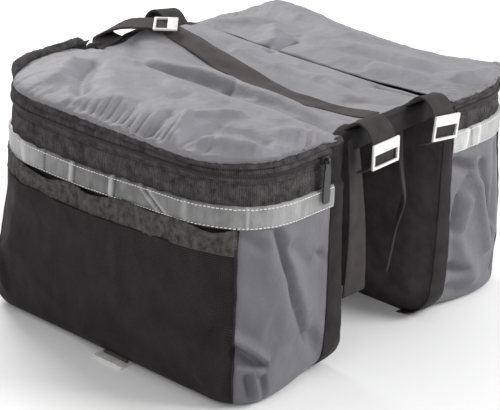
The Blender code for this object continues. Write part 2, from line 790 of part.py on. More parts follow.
def make_flopped_strap(collection):
    """The strap thrown back over the bridge, with its buckle lying turned on top."""
    rows = []
    for out, across, crest in FLOPPED_ROWS:
        x, y = -BRIDGE_END - out * LOOP_REACH, across * STRAP_OFFSET
        share = len(rows) / (len(FLOPPED_ROWS) - 1)
        turn = math.radians(FLOPPED_TURN) * smooth(share)
        base, half = lying(max(x, -BRIDGE_END), y, WEBBING_WIDTH / 2)
        turned = Vector((-math.sin(turn), math.cos(turn), 0)) * WEBBING_WIDTH / 2
        half = half.lerp(turned, smooth(share * TURN_EASE))
        rows.append((Vector((x, y, base.z + crest * LOOP_CREST)), half))
    make_webbing("rack_strap_left_near", rows, collection)
    middle = rows[-1][0].lerp(rows[-2][0], 0.5)
    highest = max(rows[-1][0].z, rows[-2][0].z)
    middle.z = highest + (WEBBING_THICKNESS + BUCKLE_THICKNESS) / 2 + LYING_CLEARANCE
    turned = Matrix.Rotation(math.radians(FLOPPED_TURN - 90), 4, "Z")
    make_buckle("buckle_left_near", Matrix.Translation(middle) @ turned, collection)


def tail_row(side, across, out, turn):
    """The middle (x, y) and half width of a hanging tail."""
    angle = math.radians(turn)
    half = Vector((-math.sin(angle), math.cos(angle), 0)) * WEBBING_WIDTH / 2
    return Vector((BRIDGE_END + out * LOOP_REACH, side * across * STRAP_OFFSET, 0)), half


def make_tail(name, side, table, collection):
    """A strap's free end that hangs from under the bridge."""
    middle, half = tail_row(side, *table[0][1:])
    ends = [middle + half * share for share in (-1, 0, 1)]
    lowest = min(bridge_height(min(p.x, BRIDGE_END), p.y) for p in ends)
    top = lowest - BRIDGE_THICKNESS - LYING_CLEARANCE
    rows = []
    for down, across, out, turn in table:
        middle, half = tail_row(side, across, out, turn)
        middle.z = top - down * TAIL_LENGTH
        rows.append((middle, half))
    make_webbing(name, rows, collection)


def make_base_tab(bag, collection):
    """The tab sewn in under the outer bottom edge, and the buckle that it holds flat on the floor."""
    _, depth, _, shift = bag.section(0.0)
    half = Vector((WEBBING_WIDTH * TAB_WIDTH / 2, 0, 0))
    over = BUCKLE_THICKNESS + 2 * SEAM_GAP + WEBBING_THICKNESS / 2
    rows = []
    for out, drop in TAB_ROWS:
        rows.append((bag.world(-shift, depth + out * TAB_REACH, over * (1 - drop)), half))
    make_webbing(f"{bag.name}_base_tab", rows, collection)
    centre = bag.world(-shift, depth + TAB_REACH - BASE_BUCKLE_HEIGHT / 2, BUCKLE_THICKNESS / 2)
    turn = math.pi if bag.side < 0 else 0.0
    place = Matrix.Translation(centre) @ Matrix.Rotation(turn, 4, "Z")
    make_buckle(f"{bag.name}_base_buckle", place, collection, BASE_BUCKLE_HEIGHT, BASE_BUCKLE_LIP)


def box(name, size, centre, material, collection):
    shape = bmesh.new()
    place = Matrix.Translation(centre) @ Matrix.Diagonal((*size, 1.0))
    bmesh.ops.create_cube(shape, size=1.0, matrix=place)
    mesh = bpy.data.meshes.new(name)
    shape.to_mesh(mesh)
    shape.free()
    return add_object(name, mesh, material, collection)


def rod(name, radius, length, centre, collection):
    """A round cutter or boss along Y."""
    shape = bmesh.new()
    place = Matrix.Translation(centre) @ Matrix.Rotation(math.pi / 2, 4, "X")
    bmesh.ops.create_cone(
        shape, segments=ROD_SIDES, radius1=radius, radius2=radius, depth=length, cap_ends=True, matrix=place
    )
    mesh = bpy.data.meshes.new(name)
    shape.to_mesh(mesh)
    shape.free()
    return add_object(name, mesh, "zip_black", collection)


def combine(obj, other, operation):
    """Cuts the other object from this one, or joins it on, and leaves the other out of the render."""
    modifier = obj.modifiers.new(operation.lower(), "BOOLEAN")
    modifier.operation = operation
    modifier.object = other
    modifier.solver = "EXACT"
    other.hide_render = True
    other.display_type = "WIRE"


def make_zip_pull(bag, collection, helpers):
    """The slider on the coil, and the puller whose top bar turns in the slider's bail."""
    end = bag.slider_end
    middle = (bag.knit_top + bag.zip_top) / 2
    half, _, _, shift = bag.section(bag.zip_top)
    coil_face = half - BAND_RECESS + 2 * SEAM_GAP + BAND_CLOTH + COIL_DEPTH
    seat = end * (coil_face + SEAM_GAP + SLIDER_THICKNESS / 2) + shift
    y = bag.side * (RACK_GAP / 2 + SLIDER_SETBACK)
    bail_radius = BAIL_INNER_RADIUS + BAIL_WIRE
    axis = Vector((seat + end * (SLIDER_THICKNESS / 2 + bail_radius - BAIL_WIRE / 2), y, middle))
    size = (SLIDER_THICKNESS, SLIDER_LENGTH, SLIDER_HEIGHT)
    slider = box(f"{bag.name}_zip_slider", size, (seat, y, middle), "zip_black", collection)
    bail = rod(f"{bag.name}_bail", bail_radius, BAIL_WIDTH, axis, helpers)
    bore = rod(f"{bag.name}_bail_bore", BAIL_INNER_RADIUS, 2 * BAIL_WIDTH, axis, helpers)
    combine(slider, bail, "UNION")
    combine(slider, bore, "DIFFERENCE")
    puller = make_puller(bag, axis, collection)
    bar = PULLER_BAR / 2
    reach = bail_radius + PULLER_CLEARANCE
    size = (2 * PULLER_THICKNESS, BAIL_WIDTH + 2 * PULLER_CLEARANCE, reach - bar)
    place = axis - Vector((0, 0, (reach + bar) / 2))
    window = box(f"{bag.name}_puller_window", size, place, "puller", helpers)
    combine(puller, window, "DIFFERENCE")


def make_puller(bag, axis, collection):
    """The flat puller that hangs from its top bar."""
    points = []
    for down, width in PULLER_ROWS:
        half = width * PULLER_WIDTH / 2
        z = PULLER_BAR / 2 - down * PULLER_LENGTH
        points += [Vector((0, -half, z)), Vector((0, half, z))]
    faces = grid_faces(len(PULLER_ROWS), 2)
    puller = surface(f"{bag.name}_zip_puller", points, faces, (1, 0, 0), "puller", collection)
    puller.location = axis
    solidify(puller, PULLER_THICKNESS, 0)
    return puller


def main():
    clear_scene()
    collection = make_collection()
    helpers = bpy.data.collections.new("cutters")
    bpy.context.scene.collection.children.link(helpers)
    for name in BAGS:
        bag = Bag(name)
        make_body(bag, collection)
        make_bands(bag, collection)
        make_pocket(bag, collection)
        make_binding(bag, collection)
        make_back_panel(bag, collection)
        make_lid(bag, collection)
        make_lid_rim(bag, collection)
        make_base_tab(bag, collection)
        make_zip_pull(bag, collection, helpers)
    make_bridge(collection)
    make_handle(collection)
    make_rack_straps(collection)
    make_tail("tail_near", -1, NEAR_TAIL, collection)
    make_tail("tail_far", 1, FAR_TAIL, collection)


main()
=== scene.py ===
"""The looks of a double bicycle pannier: cloth, mesh, webbing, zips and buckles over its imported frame.

X runs along the bicycle, Y across it from the near bag to the far bag, Z up. Lengths are in metres.
"""

import math
import bpy
import numpy as np
from bpy.props import FloatProperty, FloatVectorProperty, PointerProperty
from mathutils import Matrix, Vector, noise


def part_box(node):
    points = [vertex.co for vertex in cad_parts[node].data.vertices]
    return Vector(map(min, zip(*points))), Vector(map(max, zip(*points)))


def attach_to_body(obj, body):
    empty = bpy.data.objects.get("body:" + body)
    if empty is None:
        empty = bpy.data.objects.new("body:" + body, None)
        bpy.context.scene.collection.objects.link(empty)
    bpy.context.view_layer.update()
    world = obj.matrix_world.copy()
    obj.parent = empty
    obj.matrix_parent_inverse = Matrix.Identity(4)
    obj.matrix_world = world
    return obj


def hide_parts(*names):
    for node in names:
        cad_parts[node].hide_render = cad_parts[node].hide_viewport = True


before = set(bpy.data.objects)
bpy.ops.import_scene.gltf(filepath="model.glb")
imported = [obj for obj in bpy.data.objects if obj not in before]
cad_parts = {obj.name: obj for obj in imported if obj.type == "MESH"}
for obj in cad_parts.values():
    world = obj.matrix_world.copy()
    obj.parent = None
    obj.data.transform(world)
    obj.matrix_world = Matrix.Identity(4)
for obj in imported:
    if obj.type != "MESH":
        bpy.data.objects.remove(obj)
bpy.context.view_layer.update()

bl_info = {
    "name": "Bicycle Pannier",
    "version": (1, 0, 0),
    "blender": (4, 5, 0),
    "location": "View3D > Sidebar > Pannier",
    "description": "Dresses a double bicycle pannier in cloth, mesh, webbing, zips and buckles",
    "category": "Object",
}

BODY = "bags"
BAGS = ("near", "far")

# The CAD nodes of a bag that its shape is read from
BAG_PARTS = (
    "reflective_strip", "back_panel", "edge_binding", "knit_band", "zip_tape", "mesh_pocket", "pocket_hem",
    "lid_rim", "lid",
)

# The narrowest width that a sheet is stated with, the least share of its cut that its area is stated with,
# and the share that a narrower one's length is worked out with
NARROWEST_CUT = 0.0105
LEAST_AREA = 0.35
TRIMMED_AREA = 0.5

# The camera, fitted to the photograph's edges
CAMERA_PLACE = Vector((1.3157, -1.5072, 0.9726))
CAMERA_AZIMUTH = 41.87
CAMERA_ELEVATION = 23.5
CAMERA_ROLL = 1.6
CAMERA_LENS = 147.36
CAMERA_SHIFT = (0.0364, -0.0025)

# What the lights face, and each light: its name, its place, the stage's power that it takes a share of,
# that share, and its size
LIT_PLACE = (0.0, 0.0, 0.12)
LIGHTS = (
    ("left_key", (-1.65, 0.55, 1.25), "key", 0.78, 0.9),
    ("right_key", (1.55, 0.95, 1.35), "key", 0.98, 0.9),
    ("fill", (0.6, -2.0, 1.3), "fill", 1.0, 1.6),
)

# How far the bands' outer face stands off the wall in the frame
BAND_STAND = 0.0017
# The radius of a bag's corners in plan, and of its base edge at the back and at the front. From the share
# of the depth that is called reach on, it is the front's
PLAN_RADIUS = 0.079
BASE_RADIUS_BACK = 0.038
BASE_RADIUS_FRONT = 0.015
BASE_RADIUS_REACH = 0.6
# How far the bands above the strip stand in and over what height, and how far the lid's cloth stands in
RECESS = 0.0035
RECESS_EASE = 0.0014
LID_INSET = 0.0026
# The bands wander from this height on, and over this much height they start and stop
DRIFT_LOW = 0.150
DRIFT_EASE = 0.030
# The height up to which the wall has finer rows, the height of the base's cloth, and how far each of the
# base's rows is on its way in from the foot to the bag's middle
WALL_FOOT = 0.020
BASE_LIFT = 0.0006
BASE_SHARES = (1.0, 0.7, 0.4, 0.15, 0.04)
# How much less far round the pocket reaches at its foot, how far below the frame's mesh it starts, and how
# far above the mesh its piping ends
POCKET_TAPER = 0.015
POCKET_TUCK = 0.009
PIPING_RISE = 0.028
# How much shorter the strip is at each end, how far in from its edges the stitches are, and how much
# brighter a pleat is painted, as a painted highlight, for each metre that it stands out
STRIP_SHORT = 0.0165
STITCH_INSET = 0.0016
PLEAT_PAINTED_HIGHLIGHT = 420
# Where round the bag the near rim starts to turn up, how far out the lid's back edge is, and how far down
# its edge is tucked
ROLL_START = -0.150
LID_BACK = 0.0012
LID_TUCK = 0.0040
# The thickness of the back panel and of the bridge, and how far apart the ribs and threads are
PANEL_THICKNESS = 0.0022
BRIDGE_THICKNESS = 0.0016
KNIT_PITCH = 0.0021
RIB_PITCH = 0.0042
WEBBING_PITCH = 0.0016

# How many points each piece's grid has along it and up it, or along a tube and round it
GRIDS = {
    "wall": (261, 66), "binding": (13, 70), "back": (66, 46), "strip": (561, 13), "knit": (601, 11),
    "tape": (301, 19), "pocket": (181, 57), "hem": (401, 15), "piping": (90, 10), "lid": (341, 77),
    "rim": (601, 11), "roll": (150, 16), "bridge": (95, 187), "bound_end": (141, 17), "handle": (161, 15),
}

# How far each piece stands off the wall
STANDS = {
    "binding": 0.0004, "strip": 0.0013, "stitches": 0.0027, "knit": 0.0004, "tape": 0.0016, "coil": 0.0032,
    "pocket": 0.0009, "hem": 0.0022, "piping": 0.0012, "rim": 0.0014,
}

# The small ripples of a piece. The strip's tone has its height in brightness, and the roll as a share of
# its radius. The number is that of ripples up the piece, or in a turn of one radian.
# height, length, number, seed
RIPPLES = {
    "strip": ((0.0005, 0.0060, 1.2, 50.0), (0.0006, 0.0220, 0.8, 51.0)),
    "strip_edge": ((0.0006, 0.0120, 0.0, 52.0),),
    "strip_tone": ((0.1000, 0.0100, 2.0, 56.0),),
    "stitches": ((0.0005, 0.0030, 0.0, 54.0),),
    "knit": ((0.0004, 0.0028, 5.0, 61.0), (0.0007, 0.0070, 0.9, 60.0)),
    "tape": ((0.0004, 0.0180, 0.6, 64.0),),
    "hem": ((0.0009, 0.0065, 1.1, 74.0), (0.0016, 0.0190, 0.7, 75.0)),
    "lid_edge": ((0.0012, 0.0042, 0.0, 90.0), (0.0014, 0.0160, 0.0, 91.0)),
    "rim": ((0.0005, 0.0026, 1.5, 102.0), (0.0007, 0.0090, 1.0, 103.0)),
    "rim_edge": ((0.0009, 0.0030, 0.0, 100.0), (0.0011, 0.0130, 0.0, 101.0)),
    "roll": ((0.2200, 0.0032, 1.4, 106.0), (0.2500, 0.0150, 0.6, 107.0)),
    "handle": ((0.0011, 0.0300, 1.1, 120.0),),
}

# A stitch and a tooth of the zip: length, width, height, and how far each is from the next
STITCH = (0.0030, 0.0010, 0.0009)
STITCH_PITCH = 0.0040
TOOTH = (0.0011, 0.0044, 0.0018)
TOOTH_PITCH = 0.00155
# A small bar's rings: the place as a share of its length, and the share of its width and height there
BAR_ROWS = ((-0.5, 0.45), (-0.30, 1.0), (0.30, 1.0), (0.5, 0.45))

# A bag's section at a height: shares of the strip's height, and of the bag's length, depth, plan radius
# and length again at the strip.
# height, length, depth, radius, shift
SECTIONS = {
    "near": (
        (0.00, 1.028, 0.915, 0.52, -0.020),
        (0.22, 1.036, 0.945, 0.62, -0.018),
        (0.43, 1.030, 0.962, 0.74, -0.012),
        (0.64, 1.016, 0.978, 0.88, -0.006),
        (0.83, 1.005, 0.992, 0.96, -0.002),
        (1.00, 1.000, 1.000, 1.00, 0.000),
    ),
    "far": (
        (0.00, 1.000, 0.915, 0.52, -0.004),
        (0.22, 1.018, 0.950, 0.62, -0.004),
        (0.43, 1.022, 0.970, 0.74, -0.003),
        (0.64, 1.014, 0.985, 0.88, -0.002),
        (0.83, 1.004, 0.995, 0.96, -0.001),
        (1.00, 1.000, 1.000, 1.00, 0.000),
    ),
}

# A crease or a ridge of a wall, from one place to another: the way round from the front's middle, +X
# positive, and the height, then its half width and how far it stands out.
# from round, from height, to round, to height, half width, out
WALL_FOLDS = {
    "near": (
        (0.202, 0.184, 0.219, 0.142, 0.0050, -0.0052),
        (0.219, 0.142, 0.241, 0.092, 0.0042, -0.0056),
        (0.241, 0.092, 0.259, 0.050, 0.0036, -0.0048),
        (0.210, 0.186, 0.250, 0.090, 0.0110, 0.0032),
        (0.190, 0.180, 0.232, 0.070, 0.0130, 0.0030),
        (0.224, 0.160, 0.250, 0.136, 0.0085, -0.0038),
        (0.154, 0.078, 0.180, 0.066, 0.0060, 0.0052),
        (0.180, 0.066, 0.208, 0.048, 0.0050, 0.0042),
        (0.156, 0.062, 0.186, 0.052, 0.0058, -0.0068),
        (0.186, 0.052, 0.208, 0.043, 0.0046, -0.0056),
        (0.160, 0.046, 0.206, 0.038, 0.0040, 0.0034),
        (0.184, 0.040, 0.197, 0.008, 0.0034, 0.0036),
        (0.176, 0.034, 0.186, 0.006, 0.0060, -0.0036),
        (0.206, 0.030, 0.214, 0.006, 0.0060, -0.0030),
        (0.262, 0.056, 0.277, 0.030, 0.0070, -0.0048),
        (0.266, 0.140, 0.277, 0.132, 0.0040, -0.0030),
        (0.168, 0.184, 0.186, 0.170, 0.0070, -0.0036),
        (-0.168, 0.150, -0.200, 0.060, 0.0060, -0.0044),
        (-0.215, 0.182, -0.236, 0.110, 0.0055, -0.0048),
        (-0.236, 0.110, -0.262, 0.040, 0.0045, -0.0040),
        (-0.190, 0.060, -0.230, 0.030, 0.0060, -0.0050),
        (-0.250, 0.150, -0.272, 0.120, 0.0080, 0.0036),
        (0.100, 0.030, 0.150, 0.075, 0.0070, 0.0030),
        (0.090, 0.044, 0.140, 0.092, 0.0060, -0.0022),
        (-0.110, 0.030, -0.150, 0.070, 0.0080, 0.0030),
        (-0.020, 0.014, 0.070, 0.030, 0.0070, 0.0022),
    ),
    "far": (
        (0.272, 0.176, 0.246, 0.160, 0.0060, -0.0062),
        (0.272, 0.184, 0.240, 0.176, 0.0050, 0.0034),
        (0.271, 0.100, 0.262, 0.134, 0.0050, -0.0060),
        (0.262, 0.134, 0.246, 0.150, 0.0055, -0.0044),
        (0.262, 0.098, 0.250, 0.124, 0.0070, 0.0044),
        (0.277, 0.058, 0.252, 0.042, 0.0050, -0.0060),
        (0.266, 0.086, 0.244, 0.030, 0.0080, 0.0040),
        (0.236, 0.140, 0.226, 0.060, 0.0070, 0.0046),
        (0.226, 0.160, 0.214, 0.070, 0.0060, -0.0046),
        (0.270, 0.028, 0.240, 0.010, 0.0060, -0.0040),
        (0.190, 0.170, 0.206, 0.090, 0.0070, -0.0040),
        (0.176, 0.090, 0.200, 0.030, 0.0060, -0.0042),
        (-0.180, 0.160, -0.205, 0.070, 0.0060, -0.0044),
        (-0.225, 0.176, -0.245, 0.110, 0.0055, -0.0046),
        (-0.245, 0.100, -0.266, 0.040, 0.0050, -0.0040),
        (-0.190, 0.050, -0.226, 0.026, 0.0060, -0.0044),
        (0.060, 0.040, 0.130, 0.080, 0.0080, 0.0026),
        (-0.060, 0.030, -0.130, 0.070, 0.0080, 0.0026),
    ),
}

# A pleat of the reflective strip: the way round at its foot and at its top, its half width and its height
STRIP_PLEATS = {
    "near": (
        (-0.0430, -0.0410, 0.0022, 0.0016), (-0.0370, -0.0360, 0.0016, -0.0008),
        (0.0130, 0.0150, 0.0022, 0.0016), (0.0190, 0.0205, 0.0016, -0.0008),
        (0.0800, 0.0520, 0.0016, 0.0012), (0.0860, 0.0580, 0.0014, -0.0010),
        (0.0920, 0.0640, 0.0016, 0.0012), (0.1120, 0.1120, 0.0030, 0.0006),
        (-0.1100, -0.1120, 0.0030, 0.0010), (-0.0800, -0.0790, 0.0022, -0.0008),
        (0.1720, 0.1720, 0.0010, 0.0010),
    ),
    "far": (
        (0.2600, 0.2560, 0.0026, 0.0014), (0.2480, 0.2500, 0.0022, -0.0010),
        (0.2380, 0.2360, 0.0024, 0.0012), (0.1100, 0.1080, 0.0022, 0.0014),
        (-0.0300, -0.0280, 0.0022, 0.0014), (-0.1200, -0.1220, 0.0022, 0.0014),
    ),
}

# How bright the strip is painted round the bag: painted light, brighter where it turns towards the lamps. The
# way round, brightness
STRIP_PAINTED_LIGHT = {
    "near": (
        (-0.300, 0.90), (-0.170, 0.95), (-0.110, 0.70), (-0.060, 0.35), (0.000, 0.22), (0.050, 0.22),
        (0.090, 0.28), (0.130, 0.34), (0.170, 0.40), (0.215, 0.62), (0.245, 0.50), (0.300, 0.45),
    ),
    "far": (
        (-0.300, 0.50), (0.000, 0.40), (0.150, 0.50), (0.200, 0.70), (0.240, 0.85), (0.300, 0.95),
    ),
}

# How the top of a bag sags: the way round, how far in and how far down at the lid's edge
TOP_SAG = {
    "near": ((-0.300, 0.0, 0.0), (0.300, 0.0, 0.0)),
    "far": (
        (-0.280, 0.001, 0.0030), (-0.240, 0.001, 0.0030), (-0.205, 0.002, 0.0050), (-0.182, 0.000, 0.0010),
        (-0.165, -0.001, -0.0015), (-0.150, 0.001, 0.0012), (-0.120, 0.005, 0.0052), (-0.080, 0.009, 0.0072),
        (-0.030, 0.012, 0.0080), (0.030, 0.012, 0.0080), (0.080, 0.009, 0.0064), (0.120, 0.005, 0.0034),
        (0.150, 0.001, 0.0000), (0.200, 0.000, 0.0000), (0.280, 0.000, 0.0000),
    ),
}

# Where the bands wander up or down: the way round, and how far they do.
BAND_DRIFT = {
    "near": (
        (-0.300, 0.0000), (-0.160, -0.0010), (-0.085, -0.0030), (-0.030, -0.0034), (0.060, 0.0010),
        (0.132, 0.0038), (0.176, 0.0020), (0.225, 0.0010), (0.300, 0.0000),
    ),
    "far": (
        (-0.300, 0.0000), (-0.130, 0.0030), (-0.020, -0.0020), (0.090, -0.0030), (0.190, 0.0000),
        (0.262, 0.0000), (0.300, 0.0020),
    ),
}

# Where a pocket's hem starts above the pocket's own top, and how far it gapes: the way round, up, gape
HEM_ROWS = {
    "near": (
        (-0.170, 0.0100, 0.10), (-0.120, 0.0085, 0.30), (-0.074, 0.0055, 1.00), (-0.040, 0.0040, 0.35),
        (-0.014, 0.0045, 0.90), (0.030, 0.0060, 0.20), (0.078, 0.0080, 0.50), (0.110, 0.0095, 0.30),
        (0.138, 0.0090, 1.00), (0.158, 0.0070, 0.60), (0.170, 0.0060, 0.10),
    ),
    "far": (
        (-0.170, 0.0060, 0.10), (-0.110, 0.0070, 0.80), (-0.050, 0.0050, 0.20), (0.010, 0.0060, 0.90),
        (0.060, 0.0070, 0.30), (0.120, 0.0060, 0.90), (0.170, 0.0080, 0.10),
    ),
}

# The near lid's short pleats along its front edge, tapering inwards: x, length, depth
LID_PLEATS = (
    (-0.046, 0.018, 0.0020), (-0.034, 0.022, 0.0028), (-0.022, 0.030, 0.0036), (-0.012, 0.036, 0.0046),
    (-0.003, 0.042, 0.0050), (0.007, 0.032, 0.0044), (0.016, 0.044, 0.0056), (0.026, 0.034, 0.0048),
    (0.035, 0.046, 0.0056), (0.045, 0.032, 0.0046), (0.054, 0.042, 0.0052), (0.064, 0.034, 0.0044),
    (0.073, 0.046, 0.0050), (0.084, 0.030, 0.0038), (0.096, 0.038, 0.0036), (0.110, 0.026, 0.0030),
    (0.126, 0.030, 0.0026),
)
LID_PLEAT_WIDTH = 0.0030
LID_PLEAT_LEAN = -0.16

# A fold of a lid: x and the distance out from the back of its two ends, its half width and its height.
# from x, from out, to x, to out, half width, height
LID_FOLDS = {
    "near": (
        (-0.108, 0.060, -0.086, 0.092, 0.0090, -0.0050),
        (-0.086, 0.092, -0.060, 0.120, 0.0080, -0.0036),
        (-0.124, 0.074, -0.104, 0.112, 0.0120, 0.0040),
        (-0.070, 0.070, -0.020, 0.116, 0.0200, 0.0040),
        (0.088, 0.150, 0.064, 0.098, 0.0080, 0.0052),
        (0.064, 0.098, 0.094, 0.058, 0.0080, 0.0040),
        (0.050, 0.140, 0.044, 0.104, 0.0070, -0.0036),
        (0.100, 0.122, 0.100, 0.094, 0.0090, -0.0040),
        (0.100, 0.096, 0.150, 0.086, 0.0090, -0.0042),
        (0.112, 0.128, 0.160, 0.104, 0.0080, 0.0040),
        (0.150, 0.060, 0.170, 0.036, 0.0090, 0.0030),
        (0.020, 0.060, 0.130, 0.040, 0.0120, -0.0026),
        (-0.140, 0.030, -0.080, 0.024, 0.0090, 0.0026),
        (-0.010, 0.040, 0.050, 0.056, 0.0100, 0.0022),
    ),
    "far": (
        (-0.160, 0.118, -0.100, 0.122, 0.0280, 0.0022),
        (-0.150, 0.080, -0.070, 0.070, 0.0240, -0.0036),
        (-0.100, 0.108, -0.020, 0.096, 0.0140, 0.0026),
        (-0.052, 0.004, -0.046, 0.030, 0.0050, -0.0060),
        (-0.046, 0.030, -0.060, 0.060, 0.0070, -0.0026),
        (-0.062, 0.014, -0.090, 0.046, 0.0100, 0.0036),
        (-0.010, 0.020, 0.070, 0.024, 0.0120, 0.0022),
        (0.070, 0.024, 0.164, 0.030, 0.0130, 0.0036),
        (0.020, 0.044, 0.120, 0.052, 0.0080, -0.0014),
        (-0.030, 0.050, 0.100, 0.066, 0.0160, 0.0026),
        (-0.150, 0.020, -0.110, 0.060, 0.0120, 0.0034),
        (-0.120, 0.080, -0.040, 0.110, 0.0140, -0.0024),
        (0.020, 0.100, 0.110, 0.112, 0.0140, -0.0020),
        (0.150, 0.060, 0.164, 0.110, 0.0100, 0.0040),
    ),
}

# The lid's edge: the way round, how strongly it is gathered, how far it rolls out and how far it lifts
LID_EDGE = {
    "near": (
        (-0.280, 0.30, 0.0005, 0.0000), (-0.200, 0.45, 0.0010, 0.0000), (-0.080, 0.45, 0.0010, -0.0005),
        (-0.030, 0.80, 0.0012, -0.0010), (0.010, 1.40, 0.0020, -0.0015), (0.060, 1.60, 0.0024, -0.0020),
        (0.100, 1.20, 0.0028, -0.0010), (0.135, 0.60, 0.0050, 0.0000), (0.165, 0.50, 0.0066, 0.0008),
        (0.200, 0.60, 0.0072, 0.0010), (0.240, 1.00, 0.0060, 0.0010), (0.280, 0.90, 0.0030, 0.0000),
    ),
    "far": (
        (-0.280, 0.40, 0.0005, 0.0000), (-0.160, 0.60, 0.0030, 0.0000), (-0.060, 0.40, 0.0005, -0.0010),
        (0.100, 0.40, 0.0005, -0.0010), (0.142, 0.30, 0.0040, 0.0016), (0.160, 0.20, 0.0110, 0.0050),
        (0.180, 0.60, 0.0080, 0.0030), (0.205, 0.90, 0.0060, 0.0010), (0.240, 1.20, 0.0050, 0.0000),
        (0.280, 1.00, 0.0030, 0.0000),
    ),
}

# How far in from its edge a lid rises
LID_RISE = {"near": 0.017, "far": 0.036}

# The bridge's height above the crease: the place is a share of half its length, the heights of its rise.
# along, at the near crease, in the middle, at the far crease
BRIDGE_ROWS = (
    (-1.00, 0.05, 0.62, 0.00),
    (-0.82, 0.16, 0.84, 0.02),
    (-0.60, 0.10, 0.72, -0.04),
    (-0.30, -0.14, 0.20, -0.10),
    (-0.05, -0.14, -0.22, -0.12),
    (0.20, 0.04, -0.40, -0.10),
    (0.62, 0.12, -0.38, 0.00),
    (0.86, 0.14, -0.06, 0.12),
    (1.00, 0.14, 0.10, 0.20),
)
BRIDGE_RISE = 0.020
BRIDGE_HALF = 0.170
CREASE_HEIGHT = 0.247

# A fold of the bridge: from x, from y, to x, to y, half width, height
BRIDGE_FOLDS = (
    (0.006, -0.078, 0.011, -0.057, 0.0046, -0.0058),
    (-0.060, 0.030, 0.070, 0.052, 0.0080, 0.0034),
    (0.050, 0.044, 0.110, 0.032, 0.0060, 0.0036),
    (0.100, 0.020, 0.150, 0.040, 0.0080, -0.0034),
    (0.100, 0.068, 0.164, 0.073, 0.0060, -0.0080),
    (-0.050, 0.068, -0.040, 0.079, 0.0050, -0.0036),
    (-0.150, 0.034, -0.090, 0.046, 0.0090, -0.0036),
    (-0.150, -0.040, -0.110, -0.066, 0.0080, -0.0034),
    (0.100, -0.030, 0.160, -0.034, 0.0090, 0.0026),
)

# The long rolled ridge on the bridge's near half
# x, y, height, half width
BRIDGE_RIDGE = (
    (-0.125, -0.066, 0.0000, 0.0090),
    (-0.095, -0.062, 0.0050, 0.0095),
    (-0.060, -0.056, 0.0110, 0.0100),
    (-0.023, -0.050, 0.0155, 0.0105),
    (0.006, -0.050, 0.0142, 0.0104),
    (0.034, -0.051, 0.0146, 0.0104),
    (0.065, -0.052, 0.0130, 0.0110),
    (0.105, -0.056, 0.0085, 0.0110),
    (0.145, -0.060, 0.0040, 0.0100),
    (0.170, -0.062, 0.0010, 0.0100),
)

# The handle's webbing: shares of half its length, of the straps' offset and of the webbing's width
# along, across, width
HANDLE_ROWS = (
    (-1.00, 0.10, 0.62),
    (-0.80, 0.02, 0.82),
    (-0.45, -0.06, 1.00),
    (0.00, -0.20, 1.06),
    (0.45, -0.26, 1.00),
    (0.80, -0.26, 0.86),
    (1.00, -0.22, 0.74),
)

# A strap loop seen along Y: shares of its reach out from the bridge's end, of its crest above or of its
# drop below the bridge.
# out, crest, drop
LOOP_ROWS = (
    (-0.40, -0.70, 0.00),
    (-0.10, 0.00, 0.00),
    (0.18, 0.78, 0.00),
    (0.50, 1.00, 0.00),
    (0.78, 0.55, 0.00),
    (0.95, 0.00, 0.08),
    (1.00, 0.00, 0.30),
    (1.00, 0.00, 0.55),
    (0.94, 0.00, 0.80),
    (0.72, 0.00, 0.98),
    (0.42, 0.00, 1.10),
)

# The strap loops: name, side, end, tilt of the webbing in degrees
STRAPS = (
    ("right_near", -1, 1, 1.0),
    ("right_far", 1, 1, -8.0),
    ("left_far", 1, -1, -9.0),
)

# The strap thrown back over the bridge: shares of the reach, of the straps' offset and of the crest
# out, across, crest
FLOPPED_ROWS = (
    (-0.10, -1.10, 0.04),
    (0.30, -1.04, 0.02),
    (0.56, -0.93, 0.14),
    (0.48, -0.76, 0.46),
    (0.08, -0.48, 0.78),
    (-0.45, -0.24, 0.62),
    (-0.90, -0.08, 0.30),
    (-1.20, 0.02, 0.24),
)
FLOPPED_TURN = 42.0

# A hanging tail: shares of its length down, of the straps' offset out from the middle, and of the loops'
# reach out from the bridge's end, with the turn of its width from the Y axis in degrees.
# down, across, out, turn
TAILS = {
    "near": (
        (0.00, 1.12, -0.06, 24.0),
        (0.14, 1.10, 0.00, 22.0),
        (0.32, 1.04, 0.05, 18.0),
        (0.56, 0.98, 0.10, 12.0),
        (0.80, 0.98, 0.14, 5.0),
        (1.00, 1.02, 0.16, 0.0),
    ),
    "far": (
        (0.00, 0.62, -0.42, 22.0),
        (0.20, 0.72, -0.36, 30.0),
        (0.42, 0.84, -0.32, 37.0),
        (0.58, 0.96, -0.32, 39.0),
        (0.74, 0.78, -0.36, 36.0),
        (1.00, 0.60, -0.42, 35.0),
    ),
}
WEBBING_WIDTH = 0.034
WEBBING_THICKNESS = 0.0022
STRAP_OFFSET = 0.048
LOOP_REACH = 0.032
LOOP_DROP = 0.036
LOOP_CREST = 0.011
TAIL_LENGTH = 0.170
HANDLE_LENGTH = 0.312
TURN_EASE = 3.0

# The buckles, in their own plane
BUCKLE_WIDTH = 0.040
BUCKLE_HEIGHT = 0.026
BUCKLE_THICKNESS = 0.0028
BUCKLE_LIP = 0.011
BUCKLE_BAR = 0.0028
BASE_BUCKLE_HEIGHT = 0.0184
BASE_BUCKLE_LIP = 0.0115
BUCKLE_BEVEL = 0.0007


def colour_property(label, text, default):
    return FloatVectorProperty(
        name=label, description=text, default=default, subtype="COLOR", size=3, min=0.0, max=1.0
    )


def length_property(label, text, default):
    return FloatProperty(name=label, description=text, default=default, unit="LENGTH", precision=5, min=0.0)


